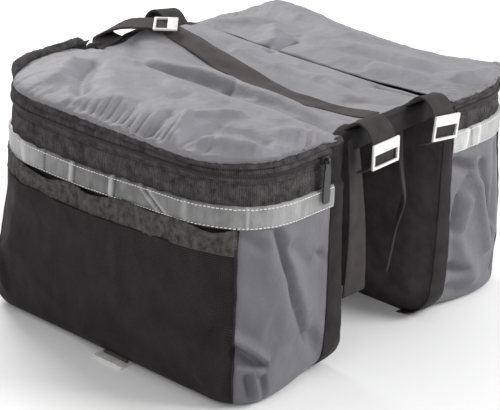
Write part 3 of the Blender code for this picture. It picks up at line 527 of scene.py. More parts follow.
class PannierColours(bpy.types.PropertyGroup):
    """The colours of the pannier's materials."""

    nylon: colour_property("Nylon", "Grey cloth of the lids and the bridge", (0.206, 0.202, 0.216))
    # Painted shade: the sides' grey is the lids' nylon painted darker, standing in for the shade on their
    # upright faces
    side: colour_property("Side", "Grey cloth of the sides", (0.142, 0.139, 0.153))
    black: colour_property("Black", "Black cloth of the bindings", (0.021, 0.019, 0.020))
    # Painted light: the back panels' black cloth is painted lighter than the bindings' to stand in for the
    # light on it
    panel: colour_property("Back panel", "Black cloth of the back panels", (0.050, 0.0445, 0.047))
    hem: colour_property("Hem", "Elastic hems of the mesh pockets", (0.042, 0.0375, 0.038))
    # Painted shade: the straps' and tails' webbing is the handle's webbing painted darker
    strap: colour_property("Strap", "Rack straps and hanging tails", (0.030, 0.0262, 0.0265))
    mesh: colour_property("Mesh", "Mesh of the pockets", (0.0165, 0.0135, 0.0142))
    knit: colour_property("Knit", "Ribbed elastic band, zip tape and rim", (0.042, 0.0385, 0.039))
    strip: colour_property("Strip", "Reflective strip", (0.215, 0.217, 0.215))
    thread: colour_property("Thread", "Stitches of the strip", (0.78, 0.78, 0.76))
    webbing: colour_property("Webbing", "Handle and base tabs", (0.046, 0.040, 0.040))
    metal: colour_property("Buckles", "Silver of the buckles", (0.74, 0.74, 0.73))
    plastic: colour_property("Zip", "Zip coils and sliders", (0.020, 0.020, 0.020))
    puller: colour_property("Puller", "Grey face of the zip pullers", (0.030, 0.030, 0.030))


class PannierCloth(bpy.types.PropertyGroup):
    """The cloth's thickness, weave and folds."""

    nylon: length_property("Nylon thickness", "Thickness of the grey and black cloth", 0.0012)
    mesh: length_property("Mesh thickness", "Thickness of the pockets' mesh", 0.0008)
    band: length_property("Band thickness", "Thickness of the strip, the knit band and the hem", 0.0012)
    weave: length_property("Weave", "Spacing of the nylon's threads", 0.0009)
    mesh_pitch: length_property("Mesh pitch", "Spacing of the mesh's holes", 0.0019)
    folds: FloatProperty(name="Folds", description="How deep the folds are", default=1.6, min=0.0, max=2.0)
    crumple: length_property("Crumple", "How far the cloth's small crumples stand out", 0.0014)
    gather: length_property("Gather", "How far the gathers at the lids' edges stand out", 0.0020)


class PannierStage(bpy.types.PropertyGroup):
    """The floor and the lights."""

    floor: length_property("Floor", "Width of the floor", 6.0)
    tone: colour_property("Floor colour", "Colour of the floor", (0.90, 0.90, 0.90))
    key: FloatProperty(name="Key light", description="Power of the key lights", default=34.0, unit="POWER")
    fill: FloatProperty(name="Fill light", description="Power of the fill light", default=9.0, unit="POWER")
    sky: FloatProperty(name="Sky", description="Strength of the surrounding light", default=0.64)


def eased(rows, place):
    """A table's other columns at places in its first one, each on a smooth curve through its rows."""
    rows = np.array(rows, float)
    knots, values = rows[:, 0], rows[:, 1:]
    slopes = np.gradient(values, knots, axis=0)
    place = np.clip(np.asarray(place, float), knots[0], knots[-1])
    k = np.clip(np.searchsorted(knots, place, side="right") - 1, 0, len(knots) - 2)
    span = (knots[k + 1] - knots[k])[..., None]
    t = (place - knots[k])[..., None] / span
    curve = (
        (2 * t**3 - 3 * t**2 + 1) * values[k] + (t**3 - 2 * t**2 + t) * slopes[k] * span
        + (3 * t**2 - 2 * t**3) * values[k + 1] + (t**3 - t**2) * slopes[k + 1] * span
    )
    return np.moveaxis(curve, -1, 0)


def smooth(share):
    share = np.clip(share, 0.0, 1.0)
    return share * share * (3.0 - 2.0 * share)


def blend(a, b, share):
    return a + (b - a) * share


def hump(place, middle, half_width):
    return np.exp(-(((place - middle) / half_width) ** 2))


def ruffle(a, b, seed):
    """Smooth noise, about -1 to 1, over two arrays of coordinates."""
    a, b = np.broadcast_arrays(a, b)
    values = [noise.noise((p, q, seed)) for p, q in zip(a.ravel().tolist(), b.ravel().tolist())]
    return np.array(values).reshape(a.shape)


def wrinkle(a, b, seed):
    """Noise with sharp crests, about -1 to 1, as of crushed cloth."""
    return 0.8 - 3.2 * np.abs(ruffle(a, b, seed)) + 0.5 * ruffle(a * 2.1, b * 2.1, seed + 0.5)


def folds_at(rows, a, b):
    """A table's folds over two arrays: the highest ridge and the deepest crease at each place."""
    ridge = crease = 0.0
    for a0, b0, a1, b1, half_width, height in rows:
        da, db = a1 - a0, b1 - b0
        t = np.clip(((a - a0) * da + (b - b0) * db) / (da * da + db * db), 0.0, 1.0)
        swell = height * hump(np.hypot(a - a0 - t * da, b - b0 - t * db), 0.0, half_width)
        ridge, crease = np.maximum(ridge, swell), np.minimum(crease, swell)
    return ridge + crease


def grid(name, first, last, low=0.0, high=1.0):
    """Places along a piece's grid, as a row, and up it, as a column."""
    along, up = GRIDS[name]
    return np.linspace(first, last, along)[None, :], np.linspace(low, high, up)[:, None]


def tube(name, first, last):
    """Places along a piece's tube, as a column, and angles evenly round it, as a row."""
    along, around = GRIDS[name]
    return np.linspace(first, last, along)[:, None], np.arange(around)[None, :] * (2 * math.pi / around)


def ripples(name, s, share=0.0):
    """A piece's small ripples, added up."""
    return sum(
        height * ruffle(s / length, share * number, seed) for height, length, number, seed in RIPPLES[name]
    )


class Bag:
    """One bag's shape. A place is s round from the front's middle, +X positive, and z up."""

    def __init__(self, name):
        corners = {part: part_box(f"{name}_{part}") for part in BAG_PARTS}
        strip, knit, tape = corners["reflective_strip"], corners["knit_band"], corners["zip_tape"]
        self.name = name
        self.side = -1 if name == "near" else 1
        self.back = min(abs(corner.y) for corner in corners["back_panel"])
        self.half = strip[1].x - BAND_STAND
        self.depth = max(abs(corner.y) for corner in strip) - BAND_STAND - self.back
        self.seam = max(abs(corner.y) for corner in corners["edge_binding"]) - self.back
        self.strip_low, self.strip_top = strip[0].z, strip[1].z
        self.knit_low, self.knit_top = knit[0].z, knit[1].z
        self.tape_low, self.tape_top = tape[0].z, tape[1].z
        self.panel_top = corners["back_panel"][1].z
        self.mesh_low, self.mesh_top = (corner.z for corner in corners["mesh_pocket"])
        self.hem_top = corners["pocket_hem"][1].z
        self.rim_top = corners["lid_rim"][1].z + LID_INSET
        self.lid_top = corners["lid"][1].z
        self.front_reach = self.half - PLAN_RADIUS
        self.corner_reach = self.front_reach + PLAN_RADIUS * math.pi / 2
        self.seam_reach = self.corner_reach + self.depth - PLAN_RADIUS - self.seam
        self.back_reach = self.seam_reach + self.seam
        self.pocket_reach = (self.front_reach + self.corner_reach) / 2

    def section(self, z):
        length, depth, radius, shift = eased(SECTIONS[self.name], z / self.strip_low)
        return self.half * length, self.depth * depth, PLAN_RADIUS * radius, 2 * self.half * shift

    def outline(self, s, z):
        """x, the distance out from the back, and the outward direction in plan."""
        half, depth, radius, shift = self.section(z)
        reach = np.abs(s)
        sign = np.where(s < 0, -1.0, 1.0)
        front = np.clip(reach / self.front_reach, 0.0, 1.0)
        corner = (self.corner_reach - reach) / (self.corner_reach - self.front_reach)
        turn = math.pi / 2 * np.clip(corner, 0.0, 1.0)
        side = np.minimum((self.seam_reach - reach) / (self.seam_reach - self.corner_reach), 1.0)
        x = (half - radius) * front + radius * np.cos(turn)
        out = self.seam + side * (depth - radius - self.seam) + radius * np.sin(turn)
        return sign * x + shift, out, sign * np.cos(turn), np.sin(turn)

    def base_inset(self, out, z):
        """How far the rounded base edge stands in, more at the back than at the front."""
        radius = blend(BASE_RADIUS_BACK, BASE_RADIUS_FRONT, smooth(out / (self.depth * BASE_RADIUS_REACH)))
        drop = np.maximum(radius - z, 0.0)
        return radius - np.sqrt(np.maximum(radius**2 - drop**2, 0.0))

    def recess(self, z):
        """How far the bands above the reflective strip stand in."""
        return RECESS * smooth((z - self.strip_top) / RECESS_EASE)

    def relief(self, s, z, cloth):
        """How far the wall's folds and crumples stand out, fading at the base and at the strip."""
        fade = smooth(z / 0.020) * smooth((self.strip_low + 0.004 - z) / 0.016)
        fade = fade * smooth((self.seam_reach - np.abs(s)) / 0.010)
        crumple = wrinkle(s / 0.048, z / 0.075, 3.0 + self.side) + 0.4 * ruffle(s / 0.010, z / 0.016, 9.0)
        slump = 0.004 * ruffle(s / 0.085, z / 0.090, 20.0 + self.side)
        return fade * (cloth.folds * folds_at(WALL_FOLDS[self.name], s, z) + cloth.crumple * crumple + slump)

    def pocket_edge(self, z):
        """How far round the pocket reaches at a height, less at its foot."""
        return self.pocket_reach - POCKET_TAPER * (1 - np.clip(z / self.strip_low, 0.0, 1.0)) ** 1.3

    def wall(self, s, z, out=0.0, cloth=None, drift=True):
        """Points of the wall, moved out along its normal."""
        s, z = np.broadcast_arrays(np.asarray(s, float), np.asarray(z, float))
        x, d, nx, nd = self.outline(s, z)
        out = out - self.base_inset(d, z) - self.recess(z)
        if cloth is not None:
            out = out + self.relief(s, z, cloth)
        if drift:
            share = smooth((z - DRIFT_LOW) / DRIFT_EASE) * smooth((self.rim_top - z) / DRIFT_EASE)
            z = z + eased(BAND_DRIFT[self.name], s)[0] * share
            pull, sink = eased(TOP_SAG[self.name], s)
            share = smooth((z - self.strip_low) / (self.rim_top - self.strip_low))
            out, z = out - pull * share, z - sink * share
        return np.stack([x + nx * out, self.side * (self.back + d + nd * out), z], -1)

    def crease(self, x):
        """The height of the seam between the lid and the bridge."""
        near, _, far = eased(BRIDGE_ROWS, x / BRIDGE_HALF)
        return CREASE_HEIGHT + BRIDGE_RISE * (near if self.side < 0 else far)


class Finish:
    """A material being mixed, with the patterns that this object's cloth and plastic share."""

    def __init__(self, name, colour, roughness, **sockets):
        self.material = bpy.data.materials.new(name)
        self.material.use_nodes = True
        self.material.diffuse_color = (*colour, 1.0)
        self.tree = self.material.node_tree
        self.shader = self.tree.nodes["Principled BSDF"]
        self.shader.inputs["Base Color"].default_value = (*colour, 1.0)
        self.shader.inputs["Roughness"].default_value = roughness
        for socket, value in sockets.items():
            self.shader.inputs[socket.replace("_", " ")].default_value = value
        self.colour = colour
        self.roughness = roughness
        self.cloth = bpy.context.scene.pannier_cloth
        places = self.tree.nodes.new("ShaderNodeTexCoord")
        self.uv = places.outputs["UV"]
        self.object = places.outputs["Object"]

    def node(self, kind, inputs, **values):
        """A node with its values set and its inputs linked or filled in, by name or number."""
        node = self.tree.nodes.new(kind)
        for name, value in values.items():
            setattr(node, name, value)
        for name, value in inputs.items():
            if isinstance(value, bpy.types.NodeSocket):
                self.tree.links.new(value, node.inputs[name])
            else:
                node.inputs[name].default_value = value
        return node

    def math(self, operation, a, b=0.0):
        return self.node("ShaderNodeMath", {0: a, 1: b}, operation=operation).outputs[0]

    def ripple(self, axis, pitch):
        """A wave from 0 to 1 along an axis of the UV map, of that pitch."""
        split = self.node("ShaderNodeSeparateXYZ", {0: self.uv})
        wave = self.math("SINE", self.math("MULTIPLY", split.outputs[axis], 2 * math.pi / pitch))
        return self.math("ADD", self.math("MULTIPLY", wave, 0.5), 0.5)

    def weave(self, pitch):
        """Plain weave of that pitch: high where two threads cross."""
        return self.math("MULTIPLY", self.ripple("X", pitch), self.ripple("Y", pitch))

    def noise(self, source, size, detail, stretch=(1.0, 1.0, 1.0)):
        """Noise with lumps of about that size, drawn out along the axes by stretch."""
        scale = tuple(1.0 / (size * share) for share in stretch)
        place = self.node("ShaderNodeMapping", {"Vector": source, "Scale": scale}).outputs[0]
        inputs = {"Vector": place, "Scale": 1.0, "Detail": detail, "Roughness": 0.55}
        return self.node("ShaderNodeTexNoise", inputs).outputs["Fac"]

    def spread(self, value, low, high):
        """A value stretched so that low is 0 and high is 1."""
        inputs = {"Value": value, "From Min": low, "From Max": high}
        return self.node("ShaderNodeMapRange", inputs).outputs["Result"]

    def paint(self, factor, low, high):
        """The base colour, from low to high times the finish's colour by the factor."""
        dark, light = ((*(channel * share for channel in self.colour), 1.0) for share in (low, high))
        mix = self.node("ShaderNodeMix", {0: factor, 6: dark, 7: light}, data_type="RGBA")
        self.tree.links.new(mix.outputs[2], self.shader.inputs["Base Color"])

    def rough(self, factor, low, high):
        """The roughness, from low to high by the factor."""
        inputs = {"Value": factor, "To Min": low, "To Max": high}
        result = self.node("ShaderNodeMapRange", inputs).outputs["Result"]
        self.tree.links.new(result, self.shader.inputs["Roughness"])

    def bump(self, height, depth):
        """Adds a relief that is depth metres deep, over any that is there already."""
        inputs = {"Height": height, "Distance": depth, "Strength": 1.0}
        linked = self.shader.inputs["Normal"].links
        if linked:
            inputs["Normal"] = linked[0].from_socket
        node = self.node("ShaderNodeBump", inputs)
        self.tree.links.new(node.outputs["Normal"], self.shader.inputs["Normal"])


def mix_nylon(finish):
    """Coated plain-weave nylon with a soft sheen and fine crumples."""
    patches = finish.noise(finish.object, 0.050, 4.0)
    finish.paint(finish.spread(patches, 0.30, 0.70), 0.86, 1.12)
    finish.rough(patches, finish.roughness - 0.08, finish.roughness + 0.10)
    finish.bump(finish.noise(finish.object, 0.012, 5.0), 0.0013)
    finish.bump(finish.noise(finish.object, 0.0032, 3.0), 0.0004)
    finish.bump(finish.weave(finish.cloth.weave), 0.00012)


def mix_black(finish):
    """Black lining cloth, with a trace of dust."""
    dust = finish.noise(finish.object, 0.022, 5.0)
    finish.paint(finish.spread(dust, 0.35, 0.75), 0.80, 1.55)
    finish.bump(finish.noise(finish.object, 0.014, 4.0), 0.0010)
    finish.bump(finish.weave(finish.cloth.weave), 0.00015)


def mix_mesh(finish):
    """Fine mesh: threads that catch the light round dark holes."""
    pitch = finish.cloth.mesh_pitch
    across, along = finish.ripple("X", pitch), finish.ripple("Y", pitch * 1.15)
    threads = finish.math("MAXIMUM", across, along)
    uneven = finish.noise(finish.uv, 0.030, 4.0)
    finish.paint(finish.math("MULTIPLY", finish.spread(threads, 0.55, 0.98), uneven), 0.45, 3.4)
    finish.bump(finish.noise(finish.object, 0.016, 4.0), 0.0012)
    finish.bump(threads, 0.00035)


def mix_hem(finish):
    """Elastic hem of the mesh pocket: brown-grey, blotchy where the dark mesh shows through."""
    blotches = finish.noise(finish.uv, 0.009, 2.0, (0.7, 1.0, 1.0))
    grain = finish.noise(finish.uv, 0.0024, 4.0)
    tone = finish.math("ADD", finish.math("MULTIPLY", grain, 0.4), blotches)
    finish.paint(finish.spread(tone, 0.48, 0.96), 0.55, 2.5)
    finish.bump(grain, 0.0008)
    finish.bump(blotches, 0.0016)


def mix_knit(finish):
    """Ribbed elastic: upright ribs, uneven and a little hairy."""
    ribs = finish.math("MULTIPLY", finish.ripple("X", KNIT_PITCH), 0.45)
    hair = finish.noise(finish.uv, 0.0016, 4.0, (0.8, 6.0, 1.0))
    wear = finish.noise(finish.uv, 0.012, 4.0)
    grain = finish.noise(finish.uv, 0.0022, 5.0)
    tone = finish.math("MULTIPLY", finish.math("ADD", finish.math("ADD", ribs, hair), grain), wear)
    finish.paint(finish.spread(tone, 0.35, 0.95), 0.45, 2.2)
    finish.bump(grain, 0.0010)
    finish.bump(hair, 0.0007)


def mix_strip(finish):
    """Reflective tape: finely beaded, rubbed, brighter where its tone attribute is high; the tone is painted
    light along the strip and painted highlights on its pleats, with random tone.
    """
    beads = finish.noise(finish.uv, 0.0011, 4.0)
    rubbed = finish.noise(finish.uv, 0.020, 5.0, (0.5, 1.6, 1.0))
    # The tone attribute: painted light and painted highlights, with random tone
    tone = finish.node("ShaderNodeAttribute", {}, attribute_name="tone").outputs["Fac"]
    shade = finish.math("ADD", finish.math("MULTIPLY", beads, 0.35), finish.math("MULTIPLY", rubbed, 0.45))
    finish.paint(finish.spread(finish.math("ADD", shade, tone), 0.45, 1.75), 0.28, 2.9)
    finish.bump(beads, 0.00025)
    finish.bump(finish.noise(finish.uv, 0.009, 3.0, (0.5, 2.0, 1.0)), 0.0009)


def mix_webbing(finish):
    """Webbing: ribs across it, with fine threads along it."""
    ribs, threads = finish.ripple("Y", WEBBING_PITCH), finish.ripple("X", WEBBING_PITCH * 0.9)
    weave = finish.math("ADD", finish.math("MULTIPLY", ribs, 0.6), finish.math("MULTIPLY", threads, 0.4))
    wear = finish.noise(finish.object, 0.016, 4.0)
    finish.paint(finish.math("MULTIPLY", finish.math("ADD", weave, 0.35), wear), 0.55, 2.4)
    finish.bump(weave, 0.00035)


def mix_plain(finish, grain=0.00005):
    """Plastic or metal with a little unevenness."""
    uneven = finish.noise(finish.object, 0.006, 4.0)
    finish.paint(finish.spread(uneven, 0.30, 0.70), 0.84, 1.10)
    finish.rough(uneven, finish.roughness - 0.07, finish.roughness + 0.10)
    finish.bump(finish.noise(finish.object, 0.0012, 3.0), grain)


def mix_thread(finish):
    """Thread, rougher than plastic."""
    mix_plain(finish, 0.0001)


SHEEN = {"Sheen_Weight": 0.06, "Sheen_Roughness": 0.45}
DULL = {"Specular_IOR_Level": 0.2}

# Each finish: how it is mixed, its roughness, and other values of its shader
FINISHES = {
    "nylon": (mix_nylon, 0.56, SHEEN),
    # The sides' nylon: the lids' nylon painted darker, as painted shade on the upright faces
    "side": (mix_nylon, 0.60, SHEEN),
    "black": (mix_black, 0.72, {"Specular_IOR_Level": 0.16}),
    # The back panels' black, painted lighter than the bindings' as painted light
    "panel": (mix_black, 0.72, {"Specular_IOR_Level": 0.16}),
    "hem": (mix_hem, 0.80, DULL),
    # The straps' webbing: the handle's webbing painted darker, as painted shade
    "strap": (mix_webbing, 0.78, DULL),
    "mesh": (mix_mesh, 0.60, {"Specular_IOR_Level": 0.12}),
    "knit": (mix_knit, 0.84, DULL),
    "strip": (mix_strip, 0.50, {}),
    "thread": (mix_thread, 0.70, {}),
    "webbing": (mix_webbing, 0.78, DULL),
    "metal": (mix_plain, 0.36, {"Metallic": 0.25}),
    "plastic": (mix_plain, 0.46, {}),
    "puller": (mix_plain, 0.42, {}),
}


def finish_of(name):
    """The material of that name, mixed the first time that it is asked for."""
    made = bpy.data.materials.get(f"pannier_{name}")
    if made is not None:
        return made
    mix, roughness, sockets = FINISHES[name]
    colour = getattr(bpy.context.scene.pannier_colours, name)
    finish = Finish(f"pannier_{name}", colour, roughness, **sockets)
    mix(finish)
    return finish.material


def deselect():
    for other in bpy.context.selected_objects:
        other.select_set(False)


def apply_modifiers(piece):
    deselect()
    piece.select_set(True)
    bpy.context.view_layer.objects.active = piece
    for modifier in list(piece.modifiers):
        bpy.ops.object.modifier_apply(modifier=modifier.name)


def thicken(piece, thickness, offset=-1.0):
    modifier = piece.modifiers.new("cloth", "SOLIDIFY")
    modifier.thickness = thickness
    modifier.offset = offset
    apply_modifiers(piece)


def mesh_piece(name, points, faces, finish):
    """A smooth-shaded mesh with its finish."""
    mesh = bpy.data.meshes.new(name)
    mesh.from_pydata(points.reshape(-1, 3).tolist(), [], faces)
    mesh.polygons.foreach_set("use_smooth", np.ones(len(mesh.polygons), bool))
    piece = bpy.data.objects.new(name, mesh)
    bpy.context.scene.collection.objects.link(piece)
    mesh.materials.append(finish_of(finish))
    return piece


def quads_of(values):
    """The four corners of each cell of a grid of values, in turn."""
    return np.stack([values[:-1, :-1], values[:-1, 1:], values[1:, 1:], values[1:, :-1]], 2)


def sheet_of(name, points, finish, thickness=0.0, flip=False, closed=False, offset=-1.0, tone=None):
    """A sheet of cloth through a grid of points, with its cut size in metres as its UV map."""
    index = np.arange(points.shape[0] * points.shape[1]).reshape(points.shape[:2])
    around = points
    if closed:
        index = np.hstack([index, index[:, :1]])
        around = np.concatenate([points, points[:, :1]], 1)
    along = np.linalg.norm(np.diff(around, axis=1), axis=2).max(0)
    up = np.linalg.norm(np.diff(points, axis=0), axis=2).mean(1)
    u, v = (np.concatenate([[0.0], np.cumsum(steps)]) for steps in (along, up))
    quads = quads_of(index).reshape(-1, 4)
    corners = quads_of(np.stack(np.broadcast_arrays(u[None, :], v[:, None]), -1)).reshape(-1, 4, 2)
    if flip:
        quads, corners = quads[:, ::-1], corners[:, ::-1]
    piece = mesh_piece(name, points, quads.tolist(), finish)
    mesh = piece.data
    mesh.uv_layers.new(name="cut").data.foreach_set("uv", corners.ravel().astype(np.float32))
    # The tone attribute carries painted brightness: on the strip, painted light and painted highlights
    if tone is not None:
        shades = mesh.attributes.new("tone", "FLOAT", "POINT").data
        shades.foreach_set("value", tone.ravel().astype(np.float32))
    if thickness:
        thicken(piece, thickness, offset)
    cross = np.cross(around[1:, 1:] - around[:-1, :-1], around[1:, :-1] - around[:-1, 1:])
    piece["cut"] = (float(u[-1]), float(v[-1]))
    piece["area"] = float(np.linalg.norm(cross, axis=2).sum() / 2)
    return piece


def attach(piece, slot, *nodes):
    """Makes a finished piece ride on the bags, in place of CAD nodes; its slot is not used."""
    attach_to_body(piece, BODY)
    if nodes:
        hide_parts(*nodes)


def attach_sheet(piece, slot, held, *nodes):
    """Attaches a piece and works out its size as a sheet of cloth, from its cut and its area."""
    attach(piece, slot, *nodes)
    width, length = max(piece["cut"]), max(min(piece["cut"]), NARROWEST_CUT)
    area = min(piece["area"], width * length)
    if area < LEAST_AREA * width * length:
        length = area / width / TRIMMED_AREA


def bag_sheet(bag, label, points, finish, thickness, slot, held, *nodes, inward=False, **how):
    """A sheet of a bag's cloth that faces out from the bag or, where inward, against its grid's turn."""
    flip = (bag.side > 0) != inward
    piece = sheet_of(f"{bag.name}_{label}", points, finish, thickness, flip=flip, **how)
    attach_sheet(piece, slot, held, *(f"{bag.name}_{node}" for node in nodes))


def studs(bag, label, s, z, bar, out, finish):
    """Copies of a small bar along a bag's wall, each turned to face out, as one mesh."""
    template, faces = bar
    ahead = bag.wall(s + 0.001, z, out) - bag.wall(s - 0.001, z, out)
    ahead /= np.linalg.norm(ahead, axis=1, keepdims=True)
    up = np.array([0.0, 0.0, 1.0])
    outward = np.cross(up, ahead) * bag.side
    axes = np.stack([ahead, outward, np.broadcast_to(up, ahead.shape)], 1)
    points = bag.wall(s, z, out)[:, None] + template @ axes
    turn = slice(None, None, -1 if bag.side > 0 else 1)
    everything = [[k * len(template) + i for i in face][turn] for k in range(len(s)) for face in faces]
    return mesh_piece(f"{bag.name}_{label}", points, everything, finish)


def bar_shape(length, width, height, sides=6):
    """A small rounded bar along its first axis: its points and its outward faces."""
    points, faces = [], []
    for place, share in BAR_ROWS:
        for turn in np.arange(sides) * (2 * math.pi / sides):
            across, up = math.cos(turn) * height / 2, math.sin(turn) * width / 2
            points.append((place * length, across * share, up * share))
    last = len(points) - sides
    for first in range(0, last, sides):
        for k in range(sides):
            a, b = first + k, first + (k + 1) % sides
            faces.append([a, a + sides, b + sides, b])
    faces.append(list(range(sides)))
    faces.append([last + k for k in reversed(range(sides))])
    return np.array(points), faces


def make_wall(bag, cloth):
    """The grey wall and base, in nylon painted darker as painted shade, and black where the mesh pocket
    covers it: black cloth there, which also stands in for the shade inside the pocket as painted shade.
    """
    s, high = grid("wall", -bag.seam_reach, bag.seam_reach, WALL_FOOT * 1.1, bag.strip_top)
    low = WALL_FOOT * (1 - np.cos(np.linspace(0, math.pi / 2, 9)))
    top = (bag.strip_top + 0.0015, bag.tape_low, bag.tape_top, bag.rim_top - 0.002)
    z = np.concatenate([low, high[:, 0], top])
    side = bag.wall(s, z[:, None], -0.0002, cloth)
    foot = side[0]
    middle = foot.copy()
    middle[:, 0] = blend(bag.section(0.0)[3], foot[:, 0], 0.30)
    middle[:, 1] = bag.side * (bag.back + bag.depth * 0.45)
    base = blend(foot, middle, np.array(BASE_SHARES)[:, None, None])
    base[..., 2] = BASE_LIFT
    # The walls take the sides' finish: nylon painted darker, as painted shade
    piece = sheet_of(f"{bag.name}_wall", np.concatenate([base, side]), "side", flip=bag.side > 0)
    # Black behind the pocket: black cloth, and painted shade for the pocket's dark inside
    piece.data.materials.append(finish_of("black"))
    heights = np.concatenate([np.zeros(len(base)), z])
    edge = bag.pocket_edge((heights[1:] + heights[:-1]) / 2)
    behind = np.abs(s[:, 1:] + s[:, :-1]) / 2 < edge[:, None]
    piece.data.polygons.foreach_set("material_index", behind.astype(np.int32).ravel())
    thicken(piece, cloth.nylon)
    attach_sheet(piece, "grey_nylon", "gathered", f"{bag.name}_body")


def make_binding(bag, cloth):
    """The black strips between the grey sides and the back panel, slightly puckered at both edges."""
    s, z = grid("binding", bag.seam_reach - 0.0012, bag.back_reach - 0.0006, 0.041, bag.tape_top)
    z = np.concatenate([np.linspace(0.0, 0.038, 18)[:, None], z])
    bow = 0.0016 * np.sin(np.linspace(0, math.pi, s.size))
    for end, label in ((1, "right"), (-1, "left")):
        pucker = 0.0009 * ruffle(z / 0.011, s / 0.02, 30.0 + end)
        points = bag.wall(end * s, z, STANDS["binding"] + bow + pucker, drift=False)
        nodes = ("edge_binding",) if end > 0 else ()
        bag_sheet(
            bag, f"{label}_binding", points, "black", cloth.nylon, "black_fabric", "stretched", *nodes,
            inward=end < 0,
        )


def make_back(bag, cloth):
    """The flat back panel, with a piped edge, in black cloth painted lighter as painted light."""
    across, share = grid("back", -1.0, 1.0)
    height = share * bag.panel_top
    half, _, _, shift = bag.section(height)
    edge = half - bag.base_inset(0.0, height) - bag.recess(height)
    rim = np.minimum((1 - np.abs(across)) * half, np.minimum(height, bag.panel_top - height))
    bulge = 0.0012 * ruffle(across * 5.0, share * 3.0, 44.0 + bag.side) * smooth(rim / 0.03)
    piping = 0.0010 * hump(rim, 0.003, 0.0018)
    y = bag.side * (bag.back - bulge + 0.0009 - piping)
    points = np.stack(np.broadcast_arrays(across * edge + shift, y, height), -1)
    bag_sheet(
        bag, "back", points, "panel", PANEL_THICKNESS, "black_fabric", "stretched", "back_panel", inward=True
    )


def make_strip(bag, cloth):
    """The reflective strip with its pleats and two rows of pale stitches, and painted light along it that is
    brighter on the pleats.
    """
    reach = bag.back_reach - STRIP_SHORT
    s, share = grid("strip", -reach, reach)
    low, top = bag.strip_low - 0.0006, bag.strip_top + 0.0006
    pleats = sum(
        height * hump(s, blend(foot_s, top_s, share), half_width)
        for foot_s, top_s, half_width, height in STRIP_PLEATS[bag.name]
    )
    edge = 1.0 - np.abs(share * 2 - 1) ** 6
    wander = ripples("strip_edge", s) * (share * 2 - 1)
    out = (STANDS["strip"] + ripples("strip", s, share) + pleats) * (0.45 + 0.55 * edge)
    points = bag.wall(s, blend(low, top, share) + wander, out)
    # Painted light along the strip, painted highlights on the pleats, and random tone
    tone = eased(STRIP_PAINTED_LIGHT[bag.name], s)[0] + ripples("strip_tone", s, share) + PLEAT_PAINTED_HIGHLIGHT * pleats
    bag_sheet(
        bag, "strip", points, "strip", cloth.band, "reflective", "stretched", "reflective_strip",
        offset=1.0, tone=tone,
    )
    middle = np.arange(-reach + 0.004, reach - 0.003, STITCH_PITCH)
    for label, height in (("low", low + STITCH_INSET), ("top", top - STITCH_INSET)):
        places = height + ripples("stitches", middle)
        bar = bar_shape(*STITCH)
        stitches = studs(bag, f"{label}_stitches", middle, places, bar, STANDS["stitches"], "thread")
        attach(stitches, "reflective")


def make_knit(bag, cloth):
    """The ribbed elastic band: it puckers between its ribs and is drawn in along both edges."""
    s, share = grid("knit", -bag.seam_reach + 0.001, bag.seam_reach - 0.001)
    z = blend(bag.knit_low - 0.0012, bag.knit_top - 0.0004, share)
    ribs = 0.00018 * np.sin(s * 2 * math.pi / RIB_PITCH)
    bulge = 0.0022 * np.sin(math.pi * np.clip(share, 0.02, 0.98)) ** 0.7
    points = bag.wall(s, z, STANDS["knit"] + bulge + ribs + ripples("knit", s, share))
    bag_sheet(bag, "knit", points, "knit", cloth.band, "knit", "gathered", "knit_band")


def make_zip(bag, cloth):
    """The zip's tape, in two flat halves with a bead at each edge, and its coil."""
    s, share = grid("tape", -bag.seam_reach + 0.001, bag.seam_reach - 0.001)
    z = blend(bag.tape_low - 0.0006, bag.tape_top + 0.0010, share)
    grooves = -0.0016 * (hump(share, 0.10, 0.07) + hump(share, 0.90, 0.07))
    ridge = 0.0010 * hump(share, 0.5, 0.22)
    points = bag.wall(s, z, STANDS["tape"] + grooves + ridge + ripples("tape", s, share))
    bag_sheet(bag, "tape", points, "knit", cloth.band, "zip_black", "stretched", "zip_tape")
    along = np.arange(-bag.seam_reach + 0.003, bag.seam_reach - 0.002, TOOTH_PITCH)
    middle = np.full(len(along), (bag.tape_low + bag.tape_top) / 2)
    coil = studs(bag, "coil", along, middle, bar_shape(*TOOTH), STANDS["coil"], "plastic")
    attach(coil, "zip_black", f"{bag.name}_zip_coil")


def make_pocket(bag, cloth):
    """The mesh pocket, slack between its side seams."""
    s, share = grid("pocket", -bag.pocket_reach, bag.pocket_reach)
    up, gape = eased(HEM_ROWS[bag.name], s)
    height = blend(bag.mesh_low - POCKET_TUCK, bag.mesh_top + up, share)
    slack = smooth((bag.pocket_reach - np.abs(s)) / 0.03) * smooth((share - 0.05) / 0.2)
    loose = 0.0013 * wrinkle(s / 0.085, height / 0.060, 70.0)
    loose = loose + 0.0006 * ruffle(s / 0.014, height / 0.050, 71.0)
    out = STANDS["pocket"] + slack * (0.0016 + loose + 0.0014 * gape * share**4)
    points = bag.wall(s * bag.pocket_edge(height) / bag.pocket_reach, height, out, cloth)
    bag_sheet(bag, "pocket", points, "mesh", cloth.mesh, "mesh", "gathered", "mesh_pocket", offset=1.0)


def make_hem(bag, cloth):
    """The elastic hem: its top dips and stands out where it gapes, so the black wall behind it shows, as the
    pocket's dark inside in painted shade.
    """
    s, share = grid("hem", -bag.pocket_reach, bag.pocket_reach)
    up, gape = eased(HEM_ROWS[bag.name], s)
    top = bag.hem_top + 0.0040 - 0.0062 * np.clip(gape, 0.0, 1.0) ** 1.5
    height = blend(bag.mesh_top + up - 0.0016, top, share)
    side = smooth((bag.pocket_reach - np.abs(s)) / 0.016)
    roll = 0.0010 * (hump(share, 0.06, 0.07) + 0.6 * hump(share, 0.94, 0.06))
    out = STANDS["hem"] + side * (ripples("hem", s, share) + 0.0030 * gape * share**2 + roll)
    points = bag.wall(s, height, out)
    bag_sheet(bag, "hem", points, "hem", cloth.band, "webbing", "gathered", "pocket_hem", offset=1.0)


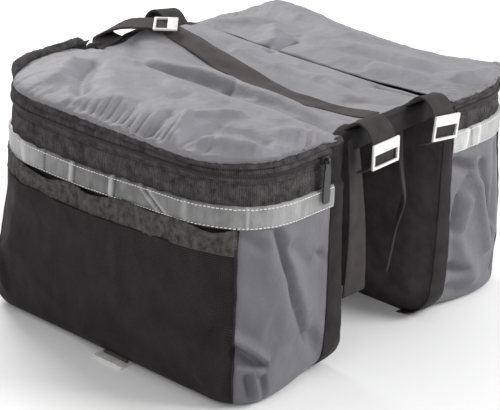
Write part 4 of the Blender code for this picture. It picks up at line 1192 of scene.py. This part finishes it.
def make_piping(bag, cloth):
    """The rolled seam at each side of the pocket."""
    z, turn = tube("piping", bag.mesh_low - POCKET_TUCK, bag.mesh_top + PIPING_RISE)
    for end, label in ((1, "right"), (-1, "left")):
        wander = 0.0012 * ruffle(z / 0.022, 0.0, 80.0 + end)
        s = end * (bag.pocket_edge(z) + wander) + 0.0019 * np.cos(turn)
        points = bag.wall(s, z, STANDS["piping"] + 0.0017 * np.sin(turn), cloth)
        piece = sheet_of(f"{bag.name}_{label}_piping", points, "black", flip=bag.side > 0, closed=True)
        attach(piece, "black_fabric")


def pleats_at(x, from_edge):
    """How deep the near lid's short pleats are over two arrays."""
    wide = LID_PLEAT_WIDTH * np.maximum(1.2 - from_edge / 0.08, 0.4)
    deep = 0.0
    for place, length, depth in LID_PLEATS:
        off = np.abs(x - place - LID_PLEAT_LEAN * from_edge) / wide
        deep = deep + 1.5 * depth * smooth(1.15 * (1 - from_edge / length)) * np.exp(-off)
    return deep


def lid_height(bag, x, d, cloth):
    """The lid's top at x and a distance out from the back, and how far from its edge that is."""
    half, depth, radius, _ = bag.section(bag.strip_low)
    over_x, over_d = np.abs(x) - (half - radius), d - (depth - radius)
    beyond = np.hypot(np.maximum(over_x, 0.0), np.maximum(over_d, 0.0))
    from_edge = np.maximum(radius - beyond - np.minimum(np.maximum(over_x, over_d), 0.0) - LID_INSET, 0.0)
    edge = blend(bag.crease(x), bag.rim_top, smooth(d / 0.030))
    puff = (1 - np.exp(-from_edge / LID_RISE[bag.name])) * (1 - np.exp(-np.maximum(d, 0.0) / 0.018))
    fade = smooth(from_edge / 0.012) * smooth(d / 0.006)
    crumple = wrinkle(x / 0.060, d / 0.036, 93.0 + bag.side) + 0.4 * ruffle(x / 0.012, d / 0.010, 94.0)
    folds = cloth.folds * folds_at(LID_FOLDS[bag.name], x, d) + cloth.crumple * crumple
    if bag.side < 0:
        folds = folds - pleats_at(x, from_edge) * smooth((d - 0.08) / 0.01)
    return blend(edge, bag.lid_top - 0.0040, puff) + fade * folds, from_edge


def make_lid(bag, cloth):
    """The domed lid: gathered and rolled over along its edge, sunk to the bridge's seam at the back."""
    reach = bag.back_reach - 0.003
    s, share = grid("lid", -reach, reach)
    share = share**1.25
    x, d, nx, nd = bag.outline(s, np.full(s.shape, bag.strip_low))
    x, d = x - nx * LID_INSET, d - nd * LID_INSET
    px, pd = blend(x, x[0, -1] * s / reach, share), blend(d, LID_BACK, share)
    z, from_edge = lid_height(bag, px, pd, cloth)
    gather, roll, lift = eased(LID_EDGE[bag.name], s)
    pleats = ruffle(s / 0.0060 + from_edge / 0.05, from_edge / 0.030, 95.0)
    pleats = pleats + 0.8 * wrinkle(s / 0.016, from_edge / 0.060, 96.0)
    z = z + cloth.gather * gather * pleats * np.exp(-from_edge / 0.018) * smooth(from_edge / 0.003)
    z = z + (lift + ripples("lid_edge", s) * smooth(d / 0.02)) * np.exp(-from_edge / 0.012)
    pull, sink = eased(TOP_SAG[bag.name], s) * np.exp(-from_edge / 0.045)
    out = roll * np.exp(-from_edge / 0.014) * smooth((from_edge + 0.0015) / 0.006) - pull
    top = np.stack([px + nx * out, pd + nd * out, z - sink], -1)
    tuck = np.stack([x, d, top[:1, :, 2] - LID_TUCK], -1)
    points = np.concatenate([tuck, top])
    points[..., 1] = bag.side * (bag.back + points[..., 1])
    bag_sheet(bag, "top", points, "nylon", cloth.nylon, "grey_nylon", "gathered", "lid")


def make_rim(bag, cloth):
    """The black gathered rim between the zip and the lid's cloth, turned up at the near bag's -X end."""
    s, share = grid("rim", -bag.back_reach + 0.002, bag.back_reach - 0.002)
    near = bag.side < 0
    turned = smooth((ROLL_START - s) / 0.050) * near
    top = bag.rim_top - (0.0022 if near else 0.0030) + 0.0096 * turned + ripples("rim_edge", s)
    bead = 0.0008 * hump(share, 0.08, 0.09)
    lean = -0.0026 * share**2 - 0.0050 * turned * share**3
    out = STANDS["rim"] + RECESS * 0.25 + ripples("rim", s, share) * share**0.4 + bead + lean
    points = bag.wall(s, blend(bag.tape_top + 0.0002, top, share), out)
    bag_sheet(bag, "rim", points, "knit", cloth.band, "black_fabric", "gathered", "lid_rim")


def make_roll(bag, cloth):
    """The rim's thick fuzzy edge where it is turned up, at the near bag's -X end."""
    if bag.side > 0:
        return
    s, turn = tube("roll", -bag.back_reach + 0.006, ROLL_START)
    taper = smooth((ROLL_START - s) / 0.040) * smooth((s + bag.back_reach) / 0.014)
    radius = (0.0008 + 0.0040 * taper) * (1.0 + ripples("roll", s, turn))
    out = RECESS - 0.0040 + radius * 1.2 * np.cos(turn)
    z = bag.rim_top + 0.0010 + 0.0050 * taper - radius * np.sin(turn)
    piece = sheet_of(f"{bag.name}_rim_edge", bag.wall(s, z, out, drift=False), "knit", flip=True, closed=True)
    attach(piece, "black_fabric")


def bridge_height(x, y, cloth):
    """The top of the bridge's cloth, folds included."""
    x, y = np.broadcast_arrays(np.asarray(x, float), np.asarray(y, float))
    half_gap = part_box("bridge")[1].y
    from_edge = half_gap - np.abs(y)
    near, middle, far = eased(BRIDGE_ROWS, x / BRIDGE_HALF)
    across = np.minimum(np.abs(y) / half_gap, 1.0)
    height = CREASE_HEIGHT + BRIDGE_RISE * blend(np.where(y < 0, near, far), middle, smooth(1 - across))
    deep = np.where(y < 0, 0.0070, 0.0020 + 0.0040 * smooth((x - 0.020) / 0.100))
    tuck = -deep * hump(from_edge, 0.0, np.where(y < 0, 0.0050, 0.0034))
    middle, ridge, wide = eased(BRIDGE_RIDGE, x)
    ridge = ridge * hump(y, middle, wide * np.where(y < middle, 0.75, 1.5))
    crumple = cloth.crumple * wrinkle(x / 0.055, y / 0.030, 110.0)
    return height + smooth(from_edge / 0.010) * (ridge + folds_at(BRIDGE_FOLDS, x, y) + crumple) + tuck


def make_bridge(cloth):
    """The grey cloth between the lids, with its folds."""
    low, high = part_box("bridge")
    y, x = grid("bridge", low.y, high.y, low.x, high.x)
    points = np.stack(np.broadcast_arrays(x, y, bridge_height(x, y, cloth)), -1)
    piece = sheet_of("bridge_cloth", points, "nylon", BRIDGE_THICKNESS)
    attach_sheet(piece, "grey_nylon", "laid", "bridge")


def make_bound_end(end, label, cloth):
    """The black band bound over one end of the bridge, drawn out and lifted at its left near corner. Where it
    hangs down below the end, it is also painted shade for the dark under the bridge.
    """
    low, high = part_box("bridge")
    y, turn = grid("bound_end", low.y + 0.001, high.y - 0.001, -0.012, 0.020)
    edge_x = high.x if end > 0 else low.x - 0.012 * smooth((-y - 0.040) / 0.034)
    over = np.clip(turn / 0.006, 0.0, 1.0)
    x = edge_x + end * (np.minimum(turn, 0.0) + 0.0030 * np.sin(over * math.pi / 2)) + 0 * y
    z = bridge_height(np.clip(x, low.x, high.x), y, cloth)
    # Below the end the band hangs down: black cloth, and painted shade for the dark under the bridge
    z = z + 0.0012 * (turn < 0.001) - np.maximum(turn - 0.002, 0.0)
    if end < 0:
        z = z + 0.006 * smooth((-y - 0.046) / 0.030) * (turn > -0.006)
    x = x + end * 0.0010 * ruffle(y / 0.012, turn / 0.015, 115.0 + end)
    points = np.stack(np.broadcast_arrays(x, y, z), -1)
    piece = sheet_of(f"bridge_{label}_binding", points, "black", cloth.band, flip=end < 0, offset=0.0)
    attach_sheet(piece, "black_fabric", "folded")


def spline(rows, steps):
    """Rows of numbers, eased between so that each stretch has that many steps."""
    rows = np.column_stack([np.arange(len(rows)), rows])
    return eased(rows, np.linspace(0, len(rows) - 1, (len(rows) - 1) * steps + 1)).T


def ribbon(name, middles, halves, flip=False, crown=0.0):
    """A strap along its middles, as wide each way as its halves, slightly crowned."""
    middles, halves = np.array(middles), np.array(halves)
    across = np.linspace(-1.0, 1.0, 9)[None, :, None]
    normal = np.cross(np.gradient(middles, axis=0), halves)
    normal /= np.maximum(np.linalg.norm(normal, axis=1, keepdims=True), 1e-9)
    points = middles[:, None] + halves[:, None] * across + normal[:, None] * crown * (1 - across**2)
    # Straps take the webbing painted darker, as painted shade
    piece = sheet_of(name, points, "strap", WEBBING_THICKNESS, flip=flip, offset=0.0)
    bevel = piece.modifiers.new("edges", "BEVEL")
    bevel.width = WEBBING_THICKNESS * 0.3
    bevel.segments = 2
    bevel.angle_limit = math.radians(50)
    apply_modifiers(piece)
    return piece


def lying(x, y, cloth):
    """The middle and half width of a strap that lies across the bridge, clear of its highest place."""
    half = WEBBING_WIDTH / 2
    places = np.linspace(-1.0, 1.0, 7)
    heights = bridge_height(np.full(7, x), y + places * half, cloth)
    middle, slope = (heights[0] + heights[-1]) / 2, (heights[-1] - heights[0]) / 2
    clear = max(0.0, (heights - middle - places * slope).max())
    return np.array([x, y, middle + clear + WEBBING_THICKNESS * 0.75]), np.array([0.0, half, slope])


def make_handle(cloth):
    """The long strap along the bridge's top, puckered and rolled at its edges."""
    share, places = grid("handle", -1.0, 1.0, -1.0, 1.0)
    across, width = eased(HANDLE_ROWS, share)
    x = share * HANDLE_LENGTH / 2
    y = across * STRAP_OFFSET + places * WEBBING_WIDTH * width / 2
    z = bridge_height(x, y, cloth)
    for _ in range(3):
        z[:, 1:-1] = (z[:, :-2] + z[:, 1:-1] + z[:, 2:]) / 3
        z[1:-1] = np.maximum(z[1:-1], (z[:-2] + z[2:]) / 2)
    z = z + WEBBING_THICKNESS * 0.9 + ripples("handle", x, places)
    points = np.stack(np.broadcast_arrays(x, y, z), -1)
    piece = sheet_of("handle", points, "webbing", WEBBING_THICKNESS, flip=True, offset=0.0)
    attach_sheet(piece, "webbing", "laid", "handle_webbing")


def make_loop(name, side, end, tilt, cloth):
    """A strap loop: off the bridge, over its crest, down behind the buckle and back under."""
    angle = math.radians(tilt)
    free = np.array([0.0, math.cos(angle), math.sin(angle)]) * WEBBING_WIDTH / 2
    middles, halves = [], []
    for out, crest, drop in spline(LOOP_ROWS, 7):
        x = end * (BRIDGE_HALF + out * LOOP_REACH)
        over = float(np.clip(x, -BRIDGE_HALF, BRIDGE_HALF))
        (_, y, z), half = lying(over, side * STRAP_OFFSET, cloth)
        halves.append(blend(half, free, float(smooth(out * TURN_EASE))))
        middles.append((x, y, z + crest * LOOP_CREST - drop * LOOP_DROP))
    piece = ribbon(f"strap_{name}", middles, halves, flip=end > 0)
    attach_sheet(piece, "webbing", "folded", f"rack_strap_{name}")


def make_flopped(cloth):
    """The strap thrown back over the bridge."""
    middles, halves = [], []
    rows = spline(FLOPPED_ROWS, 9)
    for share, (out, across, crest) in zip(np.linspace(0.0, 1.0, len(rows)), rows):
        x, y = -BRIDGE_HALF - out * LOOP_REACH, across * STRAP_OFFSET
        turn = math.radians(FLOPPED_TURN) * float(smooth(share))
        (_, _, z), half = lying(max(x, -BRIDGE_HALF), y, cloth)
        turned = np.array([-math.sin(turn), math.cos(turn), 0.0]) * WEBBING_WIDTH / 2
        halves.append(blend(half, turned, float(smooth(share * TURN_EASE))))
        middles.append((x, y, z + crest * LOOP_CREST))
    piece = ribbon("strap_left_near", middles, halves)
    attach_sheet(piece, "webbing", "folded", "rack_strap_left_near")


def make_tail(label, side):
    """A strap's free end that hangs from under the bridge."""
    down, across, out, turn = spline(TAILS[label], 8).T
    turn = np.radians(turn)
    halves = np.stack([-np.sin(turn), np.cos(turn), 0 * turn], -1) * WEBBING_WIDTH / 2
    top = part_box(f"tail_{label}")[1].z
    x, y = BRIDGE_HALF + out * LOOP_REACH, side * across * STRAP_OFFSET
    piece = ribbon(f"hanging_{label}", np.stack([x, y, top - down * TAIL_LENGTH], -1), halves, crown=0.0012)
    attach_sheet(piece, "webbing", "hung", f"tail_{label}")


def rotation(degrees, axis):
    return Matrix.Rotation(math.radians(degrees), 4, axis)


def model_buckle(name, height, lip):
    """A ladder lock in its own X-Y plane: a wide lip along +Y, two sides and a bar along -Y."""
    deselect()
    bpy.ops.mesh.primitive_plane_add(size=1.0)
    piece = bpy.context.object
    piece.name = name
    bpy.ops.object.mode_set(mode="EDIT")
    bpy.ops.transform.resize(value=(BUCKLE_WIDTH, height, 1.0))
    bpy.ops.mesh.inset(thickness=BUCKLE_BAR)
    bpy.ops.transform.resize(value=(1.0, (height - BUCKLE_BAR - lip) / (height - 2 * BUCKLE_BAR), 1.0))
    bpy.ops.transform.translate(value=(0.0, (BUCKLE_BAR - lip) / 2, 0.0))
    bpy.ops.mesh.delete(type="ONLY_FACE")
    bpy.ops.mesh.select_all(action="SELECT")
    bpy.ops.mesh.extrude_region_move(TRANSFORM_OT_translate={"value": (0.0, 0.0, BUCKLE_THICKNESS)})
    bpy.ops.mesh.select_all(action="SELECT")
    bpy.ops.transform.translate(value=(0.0, 0.0, -BUCKLE_THICKNESS / 2))
    bpy.ops.mesh.normals_make_consistent(inside=False)
    bpy.ops.mesh.select_all(action="SELECT")
    bpy.ops.mesh.bevel(offset=BUCKLE_BEVEL, segments=3, affect="EDGES")
    bpy.ops.object.mode_set(mode="OBJECT")
    bpy.ops.object.shade_smooth_by_angle(angle=math.radians(40))
    piece.data.materials.append(finish_of("metal"))
    return piece


def place_buckle(name, height, lip, node, turn):
    """A buckle at a CAD buckle's middle: its mesh moves, and its object stays at the origin."""
    low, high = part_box(node)
    piece = model_buckle(name, height, lip)
    piece.data.transform(Matrix.Translation((low + high) / 2) @ turn)
    attach(piece, "buckle", node)


def upright(end):
    """Turns a buckle's plane to face along X, with its lip up and its width along Y."""
    return Matrix(((0, 0, end, 0), (end, 0, 0, 0), (0, 1, 0, 0), (0, 0, 0, 1)))


def keep_cad(node, finish):
    """Gives a CAD node whose shape is right its finish."""
    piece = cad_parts[node]
    for place in piece.material_slots:
        place.material = finish_of(finish)
    if not piece.material_slots:
        piece.data.materials.append(finish_of(finish))


def add_light(name, place, power, size):
    light = bpy.data.objects.new(name, bpy.data.lights.new(name, "AREA"))
    light.data.energy = power
    light.data.size = size
    light.location = place
    light.rotation_euler = (Vector(LIT_PLACE) - Vector(place)).to_track_quat("-Z", "Y").to_euler()
    bpy.context.scene.collection.objects.link(light)


def add_floor(stage):
    deselect()
    bpy.ops.mesh.primitive_plane_add(size=stage.floor)
    floor = bpy.context.object
    floor.name = "floor"
    finish = Finish("pannier_floor", stage.tone, 0.8)
    finish.paint(finish.noise(finish.object, 0.4, 2.0), 0.985, 1.015)
    floor.data.materials.append(finish.material)


def add_camera(scene):
    data = bpy.data.cameras.new("camera")
    data.lens = CAMERA_LENS
    data.shift_x, data.shift_y = CAMERA_SHIFT
    camera = bpy.data.objects.new("camera", data)
    facing = rotation(CAMERA_AZIMUTH, "Z") @ rotation(90 - CAMERA_ELEVATION, "X") @ rotation(CAMERA_ROLL, "Z")
    camera.matrix_world = Matrix.Translation(CAMERA_PLACE) @ facing
    scene.collection.objects.link(camera)
    scene.camera = camera


def add_world(scene, strength):
    world = bpy.data.worlds.new("studio")
    world.use_nodes = True
    background = world.node_tree.nodes["Background"]
    background.inputs["Color"].default_value = (1.0, 1.0, 1.0, 1.0)
    background.inputs["Strength"].default_value = strength
    scene.world = world


def make_both(context, *makers):
    """Calls each maker for the near bag and then for the far one."""
    for bag in map(Bag, BAGS):
        for make in makers:
            make(bag, context.scene.pannier_cloth)
    return {"FINISHED"}


class PANNIER_OT_walls(bpy.types.Operator):
    """Model the grey walls of both bags"""

    bl_idname = "pannier.walls"
    bl_label = "Bag walls"

    def execute(self, context):
        return make_both(context, make_wall)


class PANNIER_OT_backs(bpy.types.Operator):
    """Model the back panels and the black bindings at their sides"""

    bl_idname = "pannier.backs"
    bl_label = "Back panels"

    def execute(self, context):
        return make_both(context, make_back, make_binding)


class PANNIER_OT_bands(bpy.types.Operator):
    """Model the reflective strips, the ribbed elastic bands and the zips"""

    bl_idname = "pannier.bands"
    bl_label = "Bands and zips"

    def execute(self, context):
        return make_both(context, make_strip, make_knit, make_zip)


class PANNIER_OT_pockets(bpy.types.Operator):
    """Model the mesh pockets with their gathered hems"""

    bl_idname = "pannier.pockets"
    bl_label = "Mesh pockets"

    def execute(self, context):
        return make_both(context, make_pocket, make_hem, make_piping)


class PANNIER_OT_lids(bpy.types.Operator):
    """Model the domed lids and their black rims"""

    bl_idname = "pannier.lids"
    bl_label = "Lids"

    def execute(self, context):
        return make_both(context, make_lid, make_rim, make_roll)


class PANNIER_OT_bridge(bpy.types.Operator):
    """Model the cloth between the two lids and the bands bound over its ends"""

    bl_idname = "pannier.bridge"
    bl_label = "Bridge"

    def execute(self, context):
        cloth = context.scene.pannier_cloth
        make_bridge(cloth)
        make_bound_end(1, "right", cloth)
        make_bound_end(-1, "left", cloth)
        return {"FINISHED"}


class PANNIER_OT_straps(bpy.types.Operator):
    """Model the handle, the strap loops, the strap thrown back and the hanging tails"""

    bl_idname = "pannier.straps"
    bl_label = "Straps"

    def execute(self, context):
        cloth = context.scene.pannier_cloth
        make_handle(cloth)
        for strap in STRAPS:
            make_loop(*strap, cloth)
        make_flopped(cloth)
        make_tail("near", -1)
        make_tail("far", 1)
        return {"FINISHED"}


class PANNIER_OT_buckles(bpy.types.Operator):
    """Model the ladder-lock buckles of the straps and of the base tabs"""

    bl_idname = "pannier.buckles"
    bl_label = "Buckles"

    def execute(self, context):
        size = BUCKLE_HEIGHT, BUCKLE_LIP
        for name, _, end, tilt in STRAPS:
            turn = rotation(tilt, "X") @ upright(end)
            place_buckle(f"ladder_lock_{name}", *size, f"buckle_{name}", turn)
        place_buckle("ladder_lock_left_near", *size, "buckle_left_near", rotation(FLOPPED_TURN - 90, "Z"))
        size = BASE_BUCKLE_HEIGHT, BASE_BUCKLE_LIP
        for name, angle in (("near", 180.0), ("far", 0.0)):
            place_buckle(f"{name}_ladder_lock", *size, f"{name}_base_buckle", rotation(angle, "Z"))
        return {"FINISHED"}


class PANNIER_OT_zip_pulls(bpy.types.Operator):
    """Finish the zip sliders, their pullers and the base tabs"""

    bl_idname = "pannier.zip_pulls"
    bl_label = "Zip pulls and base tabs"

    def execute(self, context):
        for name in BAGS:
            keep_cad(f"{name}_zip_slider", "plastic")
            keep_cad(f"{name}_zip_puller", "puller")
            keep_cad(f"{name}_base_tab", "webbing")
        return {"FINISHED"}


class PANNIER_OT_stage(bpy.types.Operator):
    """Set up the floor, the lights and the camera"""

    bl_idname = "pannier.stage"
    bl_label = "Stage"

    def execute(self, context):
        stage = context.scene.pannier_stage
        add_floor(stage)
        add_world(context.scene, stage.sky)
        context.scene.view_settings.view_transform = "Standard"
        for name, place, power, share, size in LIGHTS:
            add_light(name, place, getattr(stage, power) * share, size)
        add_camera(context.scene)
        return {"FINISHED"}


OPERATORS = (
    PANNIER_OT_walls, PANNIER_OT_backs, PANNIER_OT_bands, PANNIER_OT_pockets, PANNIER_OT_lids,
    PANNIER_OT_bridge, PANNIER_OT_straps, PANNIER_OT_buckles, PANNIER_OT_zip_pulls, PANNIER_OT_stage,
)


class PANNIER_PT_panel(bpy.types.Panel):
    """Lists the pannier's pieces"""

    bl_idname = "PANNIER_PT_panel"
    bl_label = "Bicycle pannier"
    bl_space_type = "VIEW_3D"
    bl_region_type = "UI"
    bl_category = "Pannier"

    def draw(self, context):
        for operator in OPERATORS:
            self.layout.operator(operator.bl_idname)
        scene = context.scene
        for group in (scene.pannier_cloth, scene.pannier_colours, scene.pannier_stage):
            box = self.layout.box()
            for name in group.bl_rna.properties.keys():
                if name not in ("rna_type", "name"):
                    box.prop(group, name)


CLASSES = (PannierColours, PannierCloth, PannierStage, *OPERATORS, PANNIER_PT_panel)


def register():
    for cls in CLASSES:
        bpy.utils.register_class(cls)
    bpy.types.Scene.pannier_colours = PointerProperty(type=PannierColours)
    bpy.types.Scene.pannier_cloth = PointerProperty(type=PannierCloth)
    bpy.types.Scene.pannier_stage = PointerProperty(type=PannierStage)


def unregister():
    del bpy.types.Scene.pannier_stage
    del bpy.types.Scene.pannier_cloth
    del bpy.types.Scene.pannier_colours
    for cls in reversed(CLASSES):
        bpy.utils.unregister_class(cls)


def main():
    register()
    bpy.ops.pannier.walls()
    bpy.ops.pannier.backs()
    bpy.ops.pannier.bands()
    bpy.ops.pannier.pockets()
    bpy.ops.pannier.lids()
    bpy.ops.pannier.bridge()
    bpy.ops.pannier.straps()
    bpy.ops.pannier.buckles()
    bpy.ops.pannier.zip_pulls()
    bpy.ops.pannier.stage()


if __name__ == "__main__":
    main()
